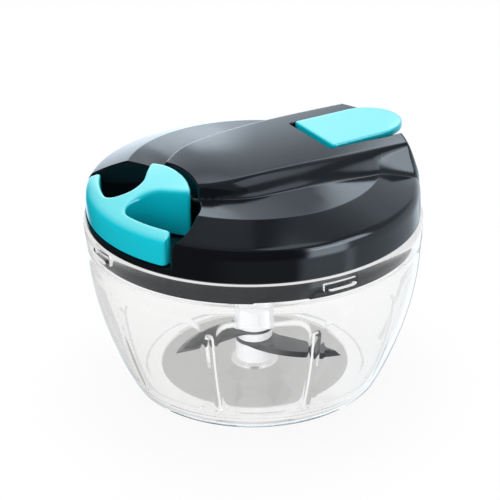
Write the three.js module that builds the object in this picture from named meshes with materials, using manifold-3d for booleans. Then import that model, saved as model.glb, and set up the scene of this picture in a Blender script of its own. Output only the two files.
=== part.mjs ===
// Pull-cord food chopper: a clear bowl, a twist-on lid with a cord reel inside, and a three-blade unit.
// Millimetres, +Z up. The origin is the middle of the bowl's foot, the pull handle lies at -Y.
import * as THREE from 'three';
import { mergeVertices } from 'three/addons/utils/BufferGeometryUtils.js';
import Module from 'manifold-3d';

const wasm = await Module();
wasm.setup();

// Clearances: between moving or nested pieces, between stacked faces, and how far a cut runs past its piece
const gap = 0.3;
const seat = 0.1;
const overrun = 1;

// Bowl
const rimRadius = 65;
const baseRadius = 49.3;
const bowlHeight = 67.8;
const bowlWall = 2.4;
const bandHeight = 8.4;
const bandWall = 2.1;
const floorTop = 3;
const footWidth = 5;
const footDepth = 1.2;
const footRound = 1.2;
const floorRingInset = 11.7;
const floorRingStep = 0.5;
const floorFillet = 6;
const bossRadius = 9;
const bossHeight = 0.8;
const spigotRadius = 4.4;
const spigotHeight = 5;
const ribCount = 10;
const ribWidth = 3.2;
const ribDepth = 1.5;
const ribTop = 47;
const ribBottom = 4;
const ribFirstAngle = 28;

// Bayonet between the bowl's rim and the lid's skirt
const lugCount = 4;
const lugHalfAngle = 5.9;
const lugSlotHalfAngle = 5.2;
const lugHeight = 2.6;
const lugSlotHeight = 1.7;
const lugDepth = 1.4;
const lugRise = 4;
const lugFace = 1;
const unlockAngle = 18.5;
const rampAngle = 4;
const entrySlackAngle = 1;
const grooveSlackAngle = 0.6;

// Centre pin that the blade unit turns on
const pinRadius = 2;
const pinBottom = 2.1;
const pinTop = 20;

// Lid cover: a wall, a broad rounding, a sloping shoulder, a sharp crease and a shallow dish inside it.
// A rise is a height above the bowl's rim, and an inset is a distance inwards from the piece around it.
const coverInset = 1;
const coverLean = 0.3;
const coverWall = 2.2;
const shoulderRise = 13.15;
const shoulderRound = 3.2;
const shoulderSlope = 20;
const creaseInset = 15.7;
const creaseRise = 18.05;
const dishRise = 16.1;

// Ridge across the lid, from the handle's recess to the vent cap
const ridgeTopRise = 25.6;
const ridgeTopHalf = 10;
const ridgeFootHalf = 33;
const ridgeSquareness = 2.8;
const ridgeBackLean = 2.2;
const ridgeFrontInset = 20;
const ridgeOverhang = 2;
const ridgeFootRadius = 1.6;

// Recess for the handle, and the pocket for the vent cap
const recessSideClearance = 1.29;
const recessCentreInset = 12;
const recessReelClearance = 1.8;
const ledgeRise = 2.7;
const pocketFrontClearance = 2;
const pocketFloorRise = 19.2;
const pocketSide = 1;

// Lid base: skirt, web, bearing boss and stiffeners
const skirtInset = 0.5;
const skirtWall = 2.4;
const webThickness = 2;
const bearingRadius = 13.5;
const bearingDrop = 5.8;
const stiffenerCount = 8;
const stiffenerWidth = 1.5;
const stiffenerHeight = 2.6;
const stiffenerRing = 35;

// Cover screws
const screwInset = 14;
const screwAngle = 28;
const screwRadius = 1.3;
const screwHeadRadius = 2.9;
const screwHeadHeight = 1.8;
const screwLength = 10;
const screwBossRadius = 3.5;

// Drive hub, bush and ratchet
const hubRadius = 9;
const hubDrop = 8;
const bushWall = 1.3;
const bushFlange = 0.8;
const bushFlangeWidth = 2.2;
const ratchetRadius = 12.6;
const ratchetToothDepth = 1.7;
const ratchetTeeth = 12;
const ratchetThickness = 3;
const clutchWall = 1.2;
const clutchFingers = 3;
const fingerWall = 1.1;
const fingerSweep = 68;
const fingerSlackAngle = 1;

// Cord reel, cord and recoil spring
const reelCore = 19;
const reelFlangeRadius = 24.4;
const reelFlange = 1.2;
const reelWall = 2;
const reelWeb = 1.4;
const reelHeight = 11.6;
const reelLift = 0.8;
const cordRadius = 0.85;
const cordPitch = 2.15;
const cordTurns = 3.25;
const cordLift = 0.2;
const springTurns = 5;
const springStrip = 0.6;
const springWidth = 4;
const springCoverThickness = 0.8;
const arborRadius = 5;
const arborFlangeRadius = 11;
const arborFlangeThickness = 1.6;
const arborBossRadius = 8;
const eyeletRadius = 3;
const eyeletBore = 1.3;
const eyeletFlangeRadius = 4.2;
const eyeletFlange = 0.7;

// Pull handle: a curved bar, a narrow neck and a fan-shaped head
const handleLift = 0.5;
const handleHeadRise = 22.8;
const handleBarRise = 15.2;
const barInset = 0.4;
const barThickness = 5.8;
const barEndAngle = 31.7;
const headHalf = 15.2;
const headClearance = 2.6;
const headCornerDrop = 3;
const neckHalf = 4;
const neckInset = 15.1;
const knotRadius = 2.3;
const knotInset = 8;
const knotPlugThickness = 1.6;

// Vent cap: a tongue hinged on a pin along its straight edge
const capThickness = 2.8;
const capRound = 0.6;
const capLength = 38;
const capFrontHalf = 14.4;
const capTipRadius = 14;
const capOverhang = 1;
const capFrontRise = 26.2;
const capTilt = -1.4;
const hingeInset = 2;
const hingeDrop = 2.8;
const hingePinRadius = 0.9;
const knuckleRadius = 2.2;
const knuckleHalf = 12;
const ventDistance = 16;
const ventRadius = 2;
const ventTubeWall = 1.8;
const sealRadius = 4.4;

// Blade unit
const coreRadius = 4.6;
const collarRadius = 7.5;
const footTop = 12;
const bladeThickness = 1.2;
const bladeClearance = 0.6;
const bladeBelly = 9.6;
const bladeBack = 3.4;
const middleBladeShare = 0.1275;
const upperBladeShare = 0.525;
const lowerBladeAngle = 36;
const cageRadius = 8;
const fluteCount = 6;
const fluteWidth = 5;
const fluteDepth = 2.4;
const fluteMargin = 2;
const headHexRadius = 5.4;
const headCollarHeight = 6;
const coreTopHeight = 5;
const headReach = 9;
const roofWall = 1.6;

// Roundness of the turned pieces, as facets for one turn
const smoothFacets = 48;
const bodyFacets = 32;
const smallFacets = 20;
const tinyFacets = 12;
const degree = Math.PI / 180;
const mergeTolerance = 1e-4;

// Heights and radii that several pieces share
const floorRingRadius = baseRadius - floorRingInset;
const bandBottom = bowlHeight - bandHeight;
const bandInner = rimRadius - bandWall;
const lugMiddle = bandBottom + lugRise;
const skirtBottom = bandBottom + gap;
const webTop = bowlHeight;
const webBottom = webTop - webThickness;
const skirtRadius = bandInner - skirtInset;
const bearingBottom = webBottom - bearingDrop;
const coverBottom = bowlHeight + gap;
const coverRadius = rimRadius - coverInset;
const shoulderZ = bowlHeight + shoulderRise;
const creaseRadius = coverRadius - creaseInset;
const creaseZ = bowlHeight + creaseRise;
const dishZ = bowlHeight + dishRise;
const ridgeTopZ = bowlHeight + ridgeTopRise;
const ridgeFrontY = ridgeFrontInset - coverRadius;
const ridgeBackY = coverRadius + ridgeOverhang;
const screwCircle = coverRadius - screwInset;
const hubBottom = bearingBottom - hubDrop;
const bushInner = hubRadius + gap;
const bushOuter = bushInner + bushWall;
const bushTop = webTop + gap + bushFlange;
const ratchetBottom = bushTop + seat;
const ratchetTop = ratchetBottom + ratchetThickness;
const reelBottom = webTop + reelLift;
const reelTop = reelBottom + reelHeight;
const reelWebBottom = ratchetTop + 2 * gap;
const reelWebTop = reelWebBottom + reelWeb;
const clutchOuter = reelCore - reelWall - gap;
const clutchInner = clutchOuter - clutchWall;
const windingRadius = reelCore + cordLift + cordRadius;
const cordZ = reelTop - reelFlange - cordLift - cordRadius;
const recessCentreY = recessCentreInset - coverRadius;
const recessBackY = -reelFlangeRadius - recessReelClearance - coverWall;
const recessDepth = recessBackY - recessCentreY;
const recessHalf = (coverRadius - barInset) * Math.sin(barEndAngle * degree) + recessSideClearance;
const ledgeZ = bowlHeight + ledgeRise;
const arborBottom = ratchetTop + gap;
const arborTop = reelTop + gap;
const handleBottom = ledgeZ + handleLift;
const handleHeadZ = bowlHeight + handleHeadRise;
const handleBarZ = bowlHeight + handleBarRise;
const barOuter = coverRadius - barInset;
const headEndY = recessBackY - headClearance;
const neckY = neckInset - barOuter;
const knotY = headEndY - knotInset;
const capTipY = coverRadius + capOverhang;
const capFrontY = capTipY - capLength;
const capFrontZ = bowlHeight + capFrontRise;
const pocketFrontY = capFrontY - pocketFrontClearance;
const pocketFloorZ = bowlHeight + pocketFloorRise;
const hingeY = capFrontY + hingeInset;
const hingeZ = capFrontZ - hingeDrop;
const ventY = hingeY + ventDistance;
const lowerBladeZ = footTop + seat;
const middleBladeZ = footTop + (hubBottom - footTop) * middleBladeShare;
const upperBladeZ = footTop + (hubBottom - footTop) * upperBladeShare;
const cageBottom = middleBladeZ + bladeThickness + seat;
const cageTop = upperBladeZ - seat;
const headBottom = upperBladeZ + bladeThickness + seat;
const coreTop = headBottom + coreTopHeight;
const headTop = hubBottom + headReach;
const bladeReach = floorRingRadius - bladeClearance;

// Solids: a closed geometry becomes a manifold, and a manifold becomes a geometry again
function signedVolume(position, index) {
  const a = new THREE.Vector3();
  const b = new THREE.Vector3();
  const c = new THREE.Vector3();
  let total = 0;
  for (let i = 0; i < index.length; i += 3) {
    a.fromArray(position, 3 * index[i]);
    b.fromArray(position, 3 * index[i + 1]);
    c.fromArray(position, 3 * index[i + 2]);
    total += a.dot(b.cross(c));
  }
  return total;
}

function solid(geometry) {
  const bare = geometry.clone();
  bare.deleteAttribute('normal');
  bare.deleteAttribute('uv');
  const merged = mergeVertices(bare, mergeTolerance);
  const position = new Float32Array(merged.attributes.position.array);
  const found = merged.index.array;
  const index = [];
  for (let i = 0; i < found.length; i += 3) {
    const [p, q, r] = [found[i], found[i + 1], found[i + 2]];
    if (p !== q && q !== r && r !== p) index.push(p, q, r);
  }
  if (signedVolume(position, index) < 0) index.reverse();
  return new wasm.Manifold(new wasm.Mesh({
    numProp: 3, vertProperties: position, triVerts: new Uint32Array(index),
  }));
}

function surface(manifold) {
  const mesh = manifold.getMesh();
  const geometry = new THREE.BufferGeometry();
  geometry.setAttribute('position', new THREE.BufferAttribute(new Float32Array(mesh.vertProperties), 3));
  geometry.setIndex(new THREE.BufferAttribute(new Uint32Array(mesh.triVerts), 1));
  geometry.computeVertexNormals();
  return geometry;
}

// A profile of [radius, height] points turned about Z; it starts and ends on the axis or closes on itself
function turned(profile, facets) {
  const points = profile.map(([radius, height]) => new THREE.Vector2(radius, height));
  return new THREE.LatheGeometry(points, facets).rotateX(90 * degree);
}

// A ring with a square section
function ring(inner, outer, bottom, top, facets) {
  return turned([[inner, bottom], [outer, bottom], [outer, top], [inner, top], [inner, bottom]], facets);
}

// A round bar along Z
function disc(radius, bottom, top, facets) {
  return turned([[0, bottom], [radius, bottom], [radius, top], [0, top]], facets);
}

// A plan outline raised from one height to another
function raised(shape, bottom, top, curveSegments = 8) {
  return new THREE.ExtrudeGeometry(shape, { depth: top - bottom, bevelEnabled: false, curveSegments })
    .translate(0, 0, bottom);
}

// A skin through closed loops of points that all have the same count, capped at both ends
function loft(sections) {
  const count = sections[0].length;
  const position = sections.flat().flatMap((point) => point.toArray());
  const index = [];
  for (let s = 0; s < sections.length - 1; s += 1) {
    for (let i = 0; i < count; i += 1) {
      const a = s * count + i;
      const b = s * count + (i + 1) % count;
      index.push(a, b, b + count, a, b + count, a + count);
    }
  }
  for (const s of [0, sections.length - 1]) {
    const middle = new THREE.Vector3();
    sections[s].forEach((point) => middle.add(point));
    middle.divideScalar(count);
    const hub = position.length / 3;
    position.push(...middle.toArray());
    for (let i = 0; i < count; i += 1) {
      const a = s * count + i;
      const b = s * count + (i + 1) % count;
      if (s === 0) index.push(hub, b, a);
      else index.push(hub, a, b);
    }
  }
  const geometry = new THREE.BufferGeometry();
  geometry.setAttribute('position', new THREE.BufferAttribute(new Float32Array(position), 3));
  geometry.setIndex(index);
  return geometry;
}

// A block that follows the rim: rectangular sections at the angles given, each with its own low and high edge
function rimBlock(inner, outer, edges) {
  return loft(edges.map(([angle, low, high]) => {
    const x = Math.cos(angle * degree);
    const y = Math.sin(angle * degree);
    return [[inner, low], [outer, low], [outer, high], [inner, high]]
      .map(([radius, z]) => new THREE.Vector3(radius * x, radius * y, z));
  }));
}

function evenAngles(from, to, steps) {
  return Array.from({ length: steps + 1 }, (_, i) => from + (to - from) * i / steps);
}

function union(solids) {
  return solids.reduce((sum, next) => sum.add(next));
}

function blend(from, to, share) {
  return from + (to - from) * share;
}

function smoothShare(t) {
  return t * t * (3 - 2 * t);
}

// Reads a table of [place share, value share] rows at one place, with a smooth run between rows
function readShares(rows, place) {
  const next = rows.findIndex((row) => row[0] >= place);
  if (next <= 0) return rows[next === 0 ? 0 : rows.length - 1][1];
  const [lowPlace, lowValue] = rows[next - 1];
  const [highPlace, highValue] = rows[next];
  return blend(lowValue, highValue, smoothShare((place - lowPlace) / (highPlace - lowPlace)));
}

const pieces = new THREE.Group();

function addPiece(name, body, look) {
  const geometry = body instanceof THREE.BufferGeometry ? surface(solid(body)) : surface(body);
  const mesh = new THREE.Mesh(geometry, new THREE.MeshStandardMaterial(look));
  mesh.name = name;
  pieces.add(mesh);
}

const slateGloss = { color: 0x23272d, roughness: 0.18, metalness: 0 };
const aquaGloss = { color: 0x1fd6dc, roughness: 0.2, metalness: 0 };
const clearPlastic = { color: 0xf2f6f8, roughness: 0.05, metalness: 0, transparent: true, opacity: 0.3 };
const whitePlastic = { color: 0xe9e6e6, roughness: 0.4, metalness: 0 };
const bladeSteel = { color: 0xa9adb0, roughness: 0.22, metalness: 1 };
const springSteel = { color: 0x7d8388, roughness: 0.35, metalness: 1 };
const cordNylon = { color: 0xf0f0ec, roughness: 0.8, metalness: 0 };
const softSeal = { color: 0xdfe4e6, roughness: 0.7, metalness: 0 };

// Bowl: the wall bellies out from the foot to the band in a parabola, and the band is thinner inside
function bowlRadius(z) {
  const rise = Math.min(z / bandBottom, 1);
  return rimRadius - (rimRadius - baseRadius) * (1 - rise) ** 2;
}

function bowlShell() {
  const steps = 7;
  const outerCurve = Array.from({ length: steps + 1 }, (_, i) => {
    const z = blend(footRound, bandBottom, i / steps);
    return [bowlRadius(z), z];
  });
  const filletTop = floorTop + floorFillet;
  const innerCurve = Array.from({ length: steps }, (_, i) => {
    const z = blend(bandBottom, filletTop, i / (steps - 1));
    return [bowlRadius(z) - bowlWall, z];
  });
  const filletRadius = bowlRadius(filletTop) - bowlWall - floorFillet;
  const filletAngles = [60, 30, 0];
  const fillet = filletAngles.map((angle) => [
    filletRadius + floorFillet * Math.sin(angle * degree),
    floorTop + floorFillet * (1 - Math.cos(angle * degree)),
  ]);
  const footInner = baseRadius - footRound - footWidth;
  return turned([
    [0, footDepth], [footInner, footDepth], [footInner + footDepth, 0], [baseRadius - footRound, 0],
    ...outerCurve, [rimRadius, bowlHeight], [bandInner, bowlHeight], [bandInner, bandBottom],
    ...innerCurve, ...fillet,
    [floorRingRadius + floorRingStep, floorTop], [floorRingRadius, floorTop - floorRingStep],
    [bossRadius + bossHeight, floorTop - floorRingStep], [bossRadius, floorTop + bossHeight],
    [spigotRadius, floorTop + bossHeight], [spigotRadius, floorTop + spigotHeight],
    [pinRadius + gap, floorTop + spigotHeight], [pinRadius + gap, pinBottom - seat], [0, pinBottom - seat],
  ], smoothFacets);
}

// One upright rib inside the wall, with its top and bottom faded into the wall
function bowlRib(angle) {
  const heights = evenAngles(ribBottom, ribTop, 6);
  const sections = heights.map((z, i) => {
    const share = i / (heights.length - 1);
    const proud = ribDepth * Math.sin(Math.PI * Math.min(Math.max(share, 0.06), 0.94)) ** 0.5;
    const wall = bowlRadius(z) - bowlWall;
    const back = wall + bowlWall / 2;
    const half = ribWidth / 2;
    return [[back, -half], [back, half], [wall - proud / 2, half], [wall - proud, half / 2],
      [wall - proud, -half / 2], [wall - proud / 2, -half]].map(([x, y]) => new THREE.Vector3(x, y, z));
  });
  return solid(loft(sections).rotateZ(angle * degree));
}

function makeBowl() {
  let bowl = solid(bowlShell());
  for (let i = 0; i < ribCount; i += 1) bowl = bowl.add(bowlRib(ribFirstAngle + 360 * i / ribCount));
  for (let i = 0; i < lugCount; i += 1) {
    const middle = 360 * i / lugCount;
    const low = lugMiddle - lugHeight / 2;
    const high = lugMiddle + lugHeight / 2;
    const lug = rimBlock(bandInner - lugDepth, bandInner + bandWall / 2,
      evenAngles(middle - lugHalfAngle, middle + lugHalfAngle, 4).map((angle) => [angle, low, high]));
    const slotLow = lugMiddle - lugSlotHeight / 2;
    const slotHigh = lugMiddle + lugSlotHeight / 2;
    const slot = rimBlock(bandInner - lugDepth + lugFace, rimRadius + overrun,
      evenAngles(middle - lugSlotHalfAngle, middle + lugSlotHalfAngle, 4)
        .map((angle) => [angle, slotLow, slotHigh]));
    bowl = bowl.add(solid(lug)).subtract(solid(slot));
  }
  return bowl;
}

addPiece('bowl', makeBowl(), clearPlastic);
addPiece('centre_pin', turned([
  [0, pinBottom], [pinRadius, pinBottom], [pinRadius, pinTop - pinRadius / 2],
  [pinRadius / 2, pinTop], [0, pinTop],
], smallFacets), springSteel);

// Lid cover: the turned body without its ridge, inset is the distance to the outer skin
function coverBody(inset, facets) {
  const bottom = inset > 0 ? coverBottom - overrun : coverBottom;
  const edgeRadius = coverRadius - coverLean;
  const roundTop = 90 - shoulderSlope;
  const shoulder = evenAngles(0, roundTop, 3).map((angle) => [
    edgeRadius - shoulderRound * (1 - Math.cos(angle * degree)),
    shoulderZ - shoulderRound * (Math.sin(roundTop * degree) - Math.sin(angle * degree)),
  ]);
  const rows = [
    [coverRadius, bottom],
    ...shoulder,
    [creaseRadius, creaseZ],
    [creaseRadius * 0.95, blend(creaseZ, dishZ, 0.5)],
    [creaseRadius * 0.86, blend(creaseZ, dishZ, 0.86)],
    [creaseRadius * 0.7, dishZ],
    [0, dishZ],
  ];
  const profile = rows.map(([radius, z], row) => [
    Math.max(radius - inset, 0), row < 1 ? z : z - inset,
  ]);
  return solid(turned([[0, bottom], ...profile], facets));
}

// The ridge: arched cross sections along Y. The shares are of its length, half widths and height above the dish
const ridgeTopHalfShares = [
  [0, 0.2], [0.13, 0.35], [0.24, 0.7], [0.4, 1], [0.54, 0.95], [0.65, 0.8], [1, 0.8],
];
const ridgeFootHalfShares = [
  [0, 0.6], [0.13, 0.75], [0.24, 0.9], [0.34, 0.97], [0.46, 1], [0.56, 0.98], [0.66, 0.94], [1, 0.93],
];
const ridgeRiseShares = [
  [0, 0.45], [0.13, 0.67], [0.24, 0.81], [0.36, 0.91], [0.5, 0.98], [0.65, 1], [0.9, 0.98], [1, 0.9],
];

function ridgeSection(place, inset) {
  const y = blend(ridgeFrontY, ridgeBackY, place);
  const top = ridgeTopHalf * readShares(ridgeTopHalfShares, place);
  const foot = ridgeFootHalf * readShares(ridgeFootHalfShares, place);
  const rise = (ridgeTopZ - dishZ) * readShares(ridgeRiseShares, place);
  const low = ledgeZ + overrun;
  const half = [[foot - inset, low], [foot - inset, dishZ - inset]];
  if (inset === 0) {
    half[0] = [foot + ridgeFootRadius, low];
    half[1] = [foot + ridgeFootRadius, dishZ - ridgeFootRadius / 2];
    half.push([foot + ridgeFootRadius / 4, dishZ + ridgeFootRadius / 2]);
  }
  for (const angle of [18, 36, 54, 72, 90]) {
    half.push([
      top - inset + (foot - top) * Math.cos(angle * degree) ** (2 / ridgeSquareness),
      dishZ - inset + rise * Math.sin(angle * degree) ** (2 / ridgeSquareness),
    ]);
  }
  const mirrored = half.map(([x, z]) => [-x, z]).reverse();
  return [...half, ...mirrored].map(([x, z]) => new THREE.Vector3(x, y, z));
}

function coverForm(inset, facets) {
  const places = evenAngles(0, 1, inset > 0 ? 9 : 16);
  const ridge = solid(loft(places.map((place) => ridgeSection(place, inset))));
  const edge = coverRadius - coverLean - inset;
  const outside = solid(turned([
    [0, coverBottom], [edge, coverBottom], [edge, shoulderZ - shoulderRound],
    [edge - ridgeBackLean, ridgeTopZ + overrun], [0, ridgeTopZ + overrun],
  ], facets));
  return coverBody(inset, facets).add(ridge.intersect(outside));
}

// Plan of the handle's recess: half an ellipse that runs straight out through the lid's wall
function recessPlan(extra) {
  const outY = recessCentreY - recessHalf;
  const half = recessHalf + extra;
  const shape = new THREE.Shape();
  shape.moveTo(half, outY);
  shape.lineTo(half, recessCentreY);
  shape.absellipse(0, recessCentreY, half, recessDepth + extra, 0, Math.PI, false);
  shape.lineTo(-half, outY);
  shape.closePath();
  return shape;
}

// Plan of the cap's pocket: the cap's tapering sides set out by the pocket's clearance
function pocketPlan(extra) {
  const side = pocketSide + extra;
  const outY = capTipY + capTipRadius;
  const shape = new THREE.Shape();
  shape.moveTo(capFrontHalf + side, pocketFrontY - extra);
  shape.lineTo(capTipRadius + side, capTipY - capTipRadius);
  shape.lineTo(capTipRadius + side, outY);
  shape.lineTo(-capTipRadius - side, outY);
  shape.lineTo(-capTipRadius - side, capTipY - capTipRadius);
  shape.lineTo(-capFrontHalf - side, pocketFrontY - extra);
  shape.closePath();
  return shape;
}

function screwPlaces() {
  return [screwAngle, 180 - screwAngle, 180 + screwAngle, 360 - screwAngle].map((angle) => [
    screwCircle * Math.cos(angle * degree), screwCircle * Math.sin(angle * degree),
  ]);
}

function makeCover() {
  const outer = coverForm(0, smoothFacets);
  const inner = coverForm(coverWall, bodyFacets);
  const roofZ = ridgeTopZ + overrun;
  const recessBlock = solid(raised(recessPlan(coverWall), coverBottom, roofZ, 10)).intersect(outer);
  const pocketBlock = solid(raised(pocketPlan(coverWall), pocketFloorZ - coverWall, roofZ)).intersect(outer);
  const ventTube = disc(ventRadius + ventTubeWall, coverBottom, pocketFloorZ, smallFacets).translate(0, ventY, 0);
  const arborBoss = disc(arborBossRadius, arborTop + arborFlangeThickness + seat, roofZ, smallFacets);
  const bosses = screwPlaces().map(([x, y]) => disc(screwBossRadius, coverBottom, roofZ, smallFacets).translate(x, y, 0));
  const innerParts = [ventTube, arborBoss, ...bosses].map((piece) => solid(piece).intersect(outer));
  const shell = union([outer.subtract(inner), recessBlock, pocketBlock, ...innerParts]);
  const eyeletHole = disc(eyeletRadius + gap, -recessDepth, recessDepth, smallFacets)
    .rotateX(90 * degree).translate(0, recessBackY, cordZ);
  const nearEyelet = new THREE.BoxGeometry(recessDepth, 3 * coverWall, recessDepth)
    .translate(0, recessBackY, cordZ);
  const cuts = [
    solid(raised(recessPlan(0), ledgeZ, roofZ, 10)),
    solid(raised(pocketPlan(0), pocketFloorZ, roofZ)),
    solid(disc(ventRadius, coverBottom - overrun, pocketFloorZ + overrun, smallFacets).translate(0, ventY, 0)),
    solid(disc(hingePinRadius + gap, -hingePinReach() - seat, hingePinReach() + seat, tinyFacets)
      .rotateY(90 * degree).translate(0, hingeY, hingeZ)),
    solid(disc(screwRadius + gap, coverBottom - overrun, arborTop + arborFlangeThickness + screwLength, tinyFacets)),
    solid(eyeletHole).intersect(solid(nearEyelet)),
    ...screwPlaces().map(([x, y]) => solid(disc(screwRadius + gap, coverBottom - overrun,
      webBottom + screwLength + gap, tinyFacets).translate(x, y, 0))),
  ];
  return cuts.reduce((rest, cut) => rest.subtract(cut), shell);
}

// The pin reaches two thirds of the way into the cheeks beside the pocket
function hingePinReach() {
  return capFrontHalf + pocketSide + coverWall * 0.66;
}

addPiece('lid_cover', makeCover(), slateGloss);

// Lid base: a web with a bearing boss, a skirt with four bayonet grooves, and stiffeners below
function makeLidBase() {
  const skirtInner = skirtRadius - skirtWall;
  const bossInner = bushOuter + gap;
  let base = solid(turned([
    [bossInner, bearingBottom], [bearingRadius, bearingBottom], [bearingRadius, webBottom],
    [skirtInner, webBottom], [skirtInner, skirtBottom], [skirtRadius, skirtBottom],
    [skirtRadius, coverBottom - seat], [skirtInner, coverBottom - seat], [skirtInner, webTop],
    [bossInner, webTop], [bossInner, bearingBottom],
  ], smoothFacets));
  for (let i = 0; i < stiffenerCount; i += 1) {
    const length = skirtInner - bearingRadius + 2 * seat;
    const rib = new THREE.BoxGeometry(length, stiffenerWidth, stiffenerHeight + overrun)
      .translate(bearingRadius + length / 2 - seat, 0, webBottom - (stiffenerHeight - overrun) / 2)
      .rotateZ(360 * degree * i / stiffenerCount);
    base = base.add(solid(rib));
  }
  base = base.add(solid(ring(stiffenerRing, stiffenerRing + stiffenerWidth, webBottom - stiffenerHeight,
    webBottom + overrun / 2, bodyFacets)));
  for (let i = 0; i < lugCount; i += 1) {
    const lock = 360 * i / lugCount;
    const runLow = lugMiddle - lugHeight / 2 - gap;
    const runHigh = lugMiddle + lugHeight / 2 + gap;
    const cutLow = skirtBottom - overrun;
    const entryLeft = lock - unlockAngle - lugHalfAngle - entrySlackAngle;
    const entryRight = lock - unlockAngle + lugHalfAngle + grooveSlackAngle;
    const edges = [
      [entryLeft - rampAngle, cutLow, skirtBottom + seat],
      [entryLeft, cutLow, runHigh],
      ...evenAngles(entryLeft, entryRight, 4).slice(1, -1).map((angle) => [angle, cutLow, runHigh]),
      [entryRight, cutLow, runHigh],
      [entryRight + rampAngle, runLow, runHigh],
      ...evenAngles(entryRight + rampAngle, lock + lugHalfAngle + entrySlackAngle, 4).slice(1)
        .map((angle) => [angle, runLow, runHigh]),
    ];
    base = base.subtract(solid(rimBlock(bandInner - lugDepth - gap, skirtRadius + overrun, edges)));
  }
  base = base.subtract(solid(disc(ventRadius, webBottom - stiffenerHeight - overrun, webTop + overrun, smallFacets)
    .translate(0, ventY, 0)));
  for (const [x, y] of screwPlaces()) {
    base = base.subtract(solid(disc(screwRadius + gap, webBottom - overrun, webTop + overrun, tinyFacets)
      .translate(x, y, 0)));
  }
  return base;
}

addPiece('lid_base', makeLidBase(), slateGloss);

// A screw with a domed head below and its point up
function screw(headRadius, headHeight, radius, length) {
  return turned([
    [0, -headHeight], [headRadius * 0.6, -headHeight], [headRadius, -headHeight / 2], [headRadius, 0],
    [radius, 0], [radius, length - 2 * radius], [0, length - seat],
  ], tinyFacets);
}

screwPlaces().forEach(([x, y], i) => {
  addPiece(`cover_screw_${i + 1}`, screw(screwHeadRadius, screwHeadHeight, screwRadius, screwLength)
    .translate(x, y, webBottom - seat), springSteel);
});

// Bush in the lid's bearing boss; its flange carries the drive hub
addPiece('drive_bush', turned([
  [bushInner, bearingBottom], [bushOuter, bearingBottom], [bushOuter, webTop + gap],
  [bushOuter + bushFlangeWidth, webTop + gap], [bushOuter + bushFlangeWidth, bushTop],
  [bushInner, bushTop], [bushInner, bearingBottom],
], smallFacets), whitePlastic);

// Drive hub: saw-toothed flange on top, six-sided socket below
function makeDriveHub() {
  const teeth = new THREE.Shape();
  const root = ratchetRadius - ratchetToothDepth;
  for (let i = 0; i < ratchetTeeth; i += 1) {
    const start = 360 * degree * i / ratchetTeeth;
    const end = 360 * degree * (i + 1) / ratchetTeeth;
    const rootPoint = [root * Math.cos(start), root * Math.sin(start)];
    if (i === 0) teeth.moveTo(...rootPoint);
    else teeth.lineTo(...rootPoint);
    teeth.lineTo(ratchetRadius * Math.cos(end), ratchetRadius * Math.sin(end));
  }
  teeth.closePath();
  const socket = disc(headHexRadius + gap / Math.cos(30 * degree), hubBottom - overrun, headTop + 2 * gap, 6);
  return solid(raised(teeth, ratchetBottom, ratchetTop))
    .add(solid(disc(hubRadius, hubBottom, ratchetBottom + ratchetThickness / 2, smallFacets)))
    .subtract(solid(socket));
}

addPiece('drive_hub', makeDriveHub(), whitePlastic);

// Clutch ring: three springy fingers that push the saw teeth one way and skip over them the other way
function makeClutchRing() {
  const bottom = ratchetBottom;
  const top = ratchetTop;
  const parts = [solid(ring(clutchInner, clutchOuter, bottom, top, bodyFacets))];
  const tipRadius = ratchetRadius - ratchetToothDepth + gap + fingerWall / 2;
  const rootRadius = clutchInner;
  for (let i = 0; i < clutchFingers; i += 1) {
    const from = 360 * i / clutchFingers + clutchTipAngle();
    const sections = evenAngles(0, 1, 8).map((share) => {
      const angle = (from + fingerSweep * share) * degree;
      const middle = blend(tipRadius, rootRadius, smoothShare(Math.min(share * 1.4, 1)));
      return [[-1, bottom], [1, bottom], [1, top], [-1, top]].map(([side, z]) => new THREE.Vector3(
        (middle + side * fingerWall / 2) * Math.cos(angle), (middle + side * fingerWall / 2) * Math.sin(angle), z,
      ));
    });
    parts.push(solid(loft(sections)));
  }
  return union(parts);
}

// The fingers' tips stop just behind a tooth's steep face
function clutchTipAngle() {
  return gap / ratchetRadius / degree + fingerSlackAngle;
}

addPiece('clutch_ring', makeClutchRing(), whitePlastic);

// Cord reel: grooved rim, a web at mid height, a cup for the spring above it and the clutch below it
addPiece('cord_reel', turned([
  [reelCore - reelWall, reelBottom], [reelFlangeRadius, reelBottom], [reelFlangeRadius, reelBottom + reelFlange],
  [reelCore, reelBottom + reelFlange], [reelCore, reelTop - reelFlange],
  [reelFlangeRadius, reelTop - reelFlange], [reelFlangeRadius, reelTop], [reelCore - reelWall, reelTop],
  [reelCore - reelWall, reelWebTop], [arborRadius + gap, reelWebTop], [arborRadius + gap, reelWebBottom],
  [reelCore - reelWall, reelWebBottom], [reelCore - reelWall, reelBottom],
], bodyFacets), whitePlastic);

// A round tube through points, with its section square to the path
function tube(path, radius, sides, steps) {
  const section = new THREE.Shape();
  for (let i = 0; i < sides; i += 1) {
    const angle = 360 * degree * i / sides;
    if (i === 0) section.moveTo(radius * Math.cos(angle), radius * Math.sin(angle));
    else section.lineTo(radius * Math.cos(angle), radius * Math.sin(angle));
  }
  section.closePath();
  return new THREE.ExtrudeGeometry(section, { steps, extrudePath: path, bevelEnabled: false });
}

// The cord leaves the reel along the tangent that aims at the eyelet
const eyeletInsideY = recessBackY + coverWall + eyeletFlange;
const aimY = eyeletInsideY + 2 * cordRadius;
const leaveAngle = -90 * degree + Math.acos(windingRadius / Math.abs(aimY));
const leavePoint = new THREE.Vector3(
  windingRadius * Math.cos(leaveAngle), windingRadius * Math.sin(leaveAngle), cordZ,
);
const leaveDirection = new THREE.Vector3(Math.sin(leaveAngle), -Math.cos(leaveAngle), 0);

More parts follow.
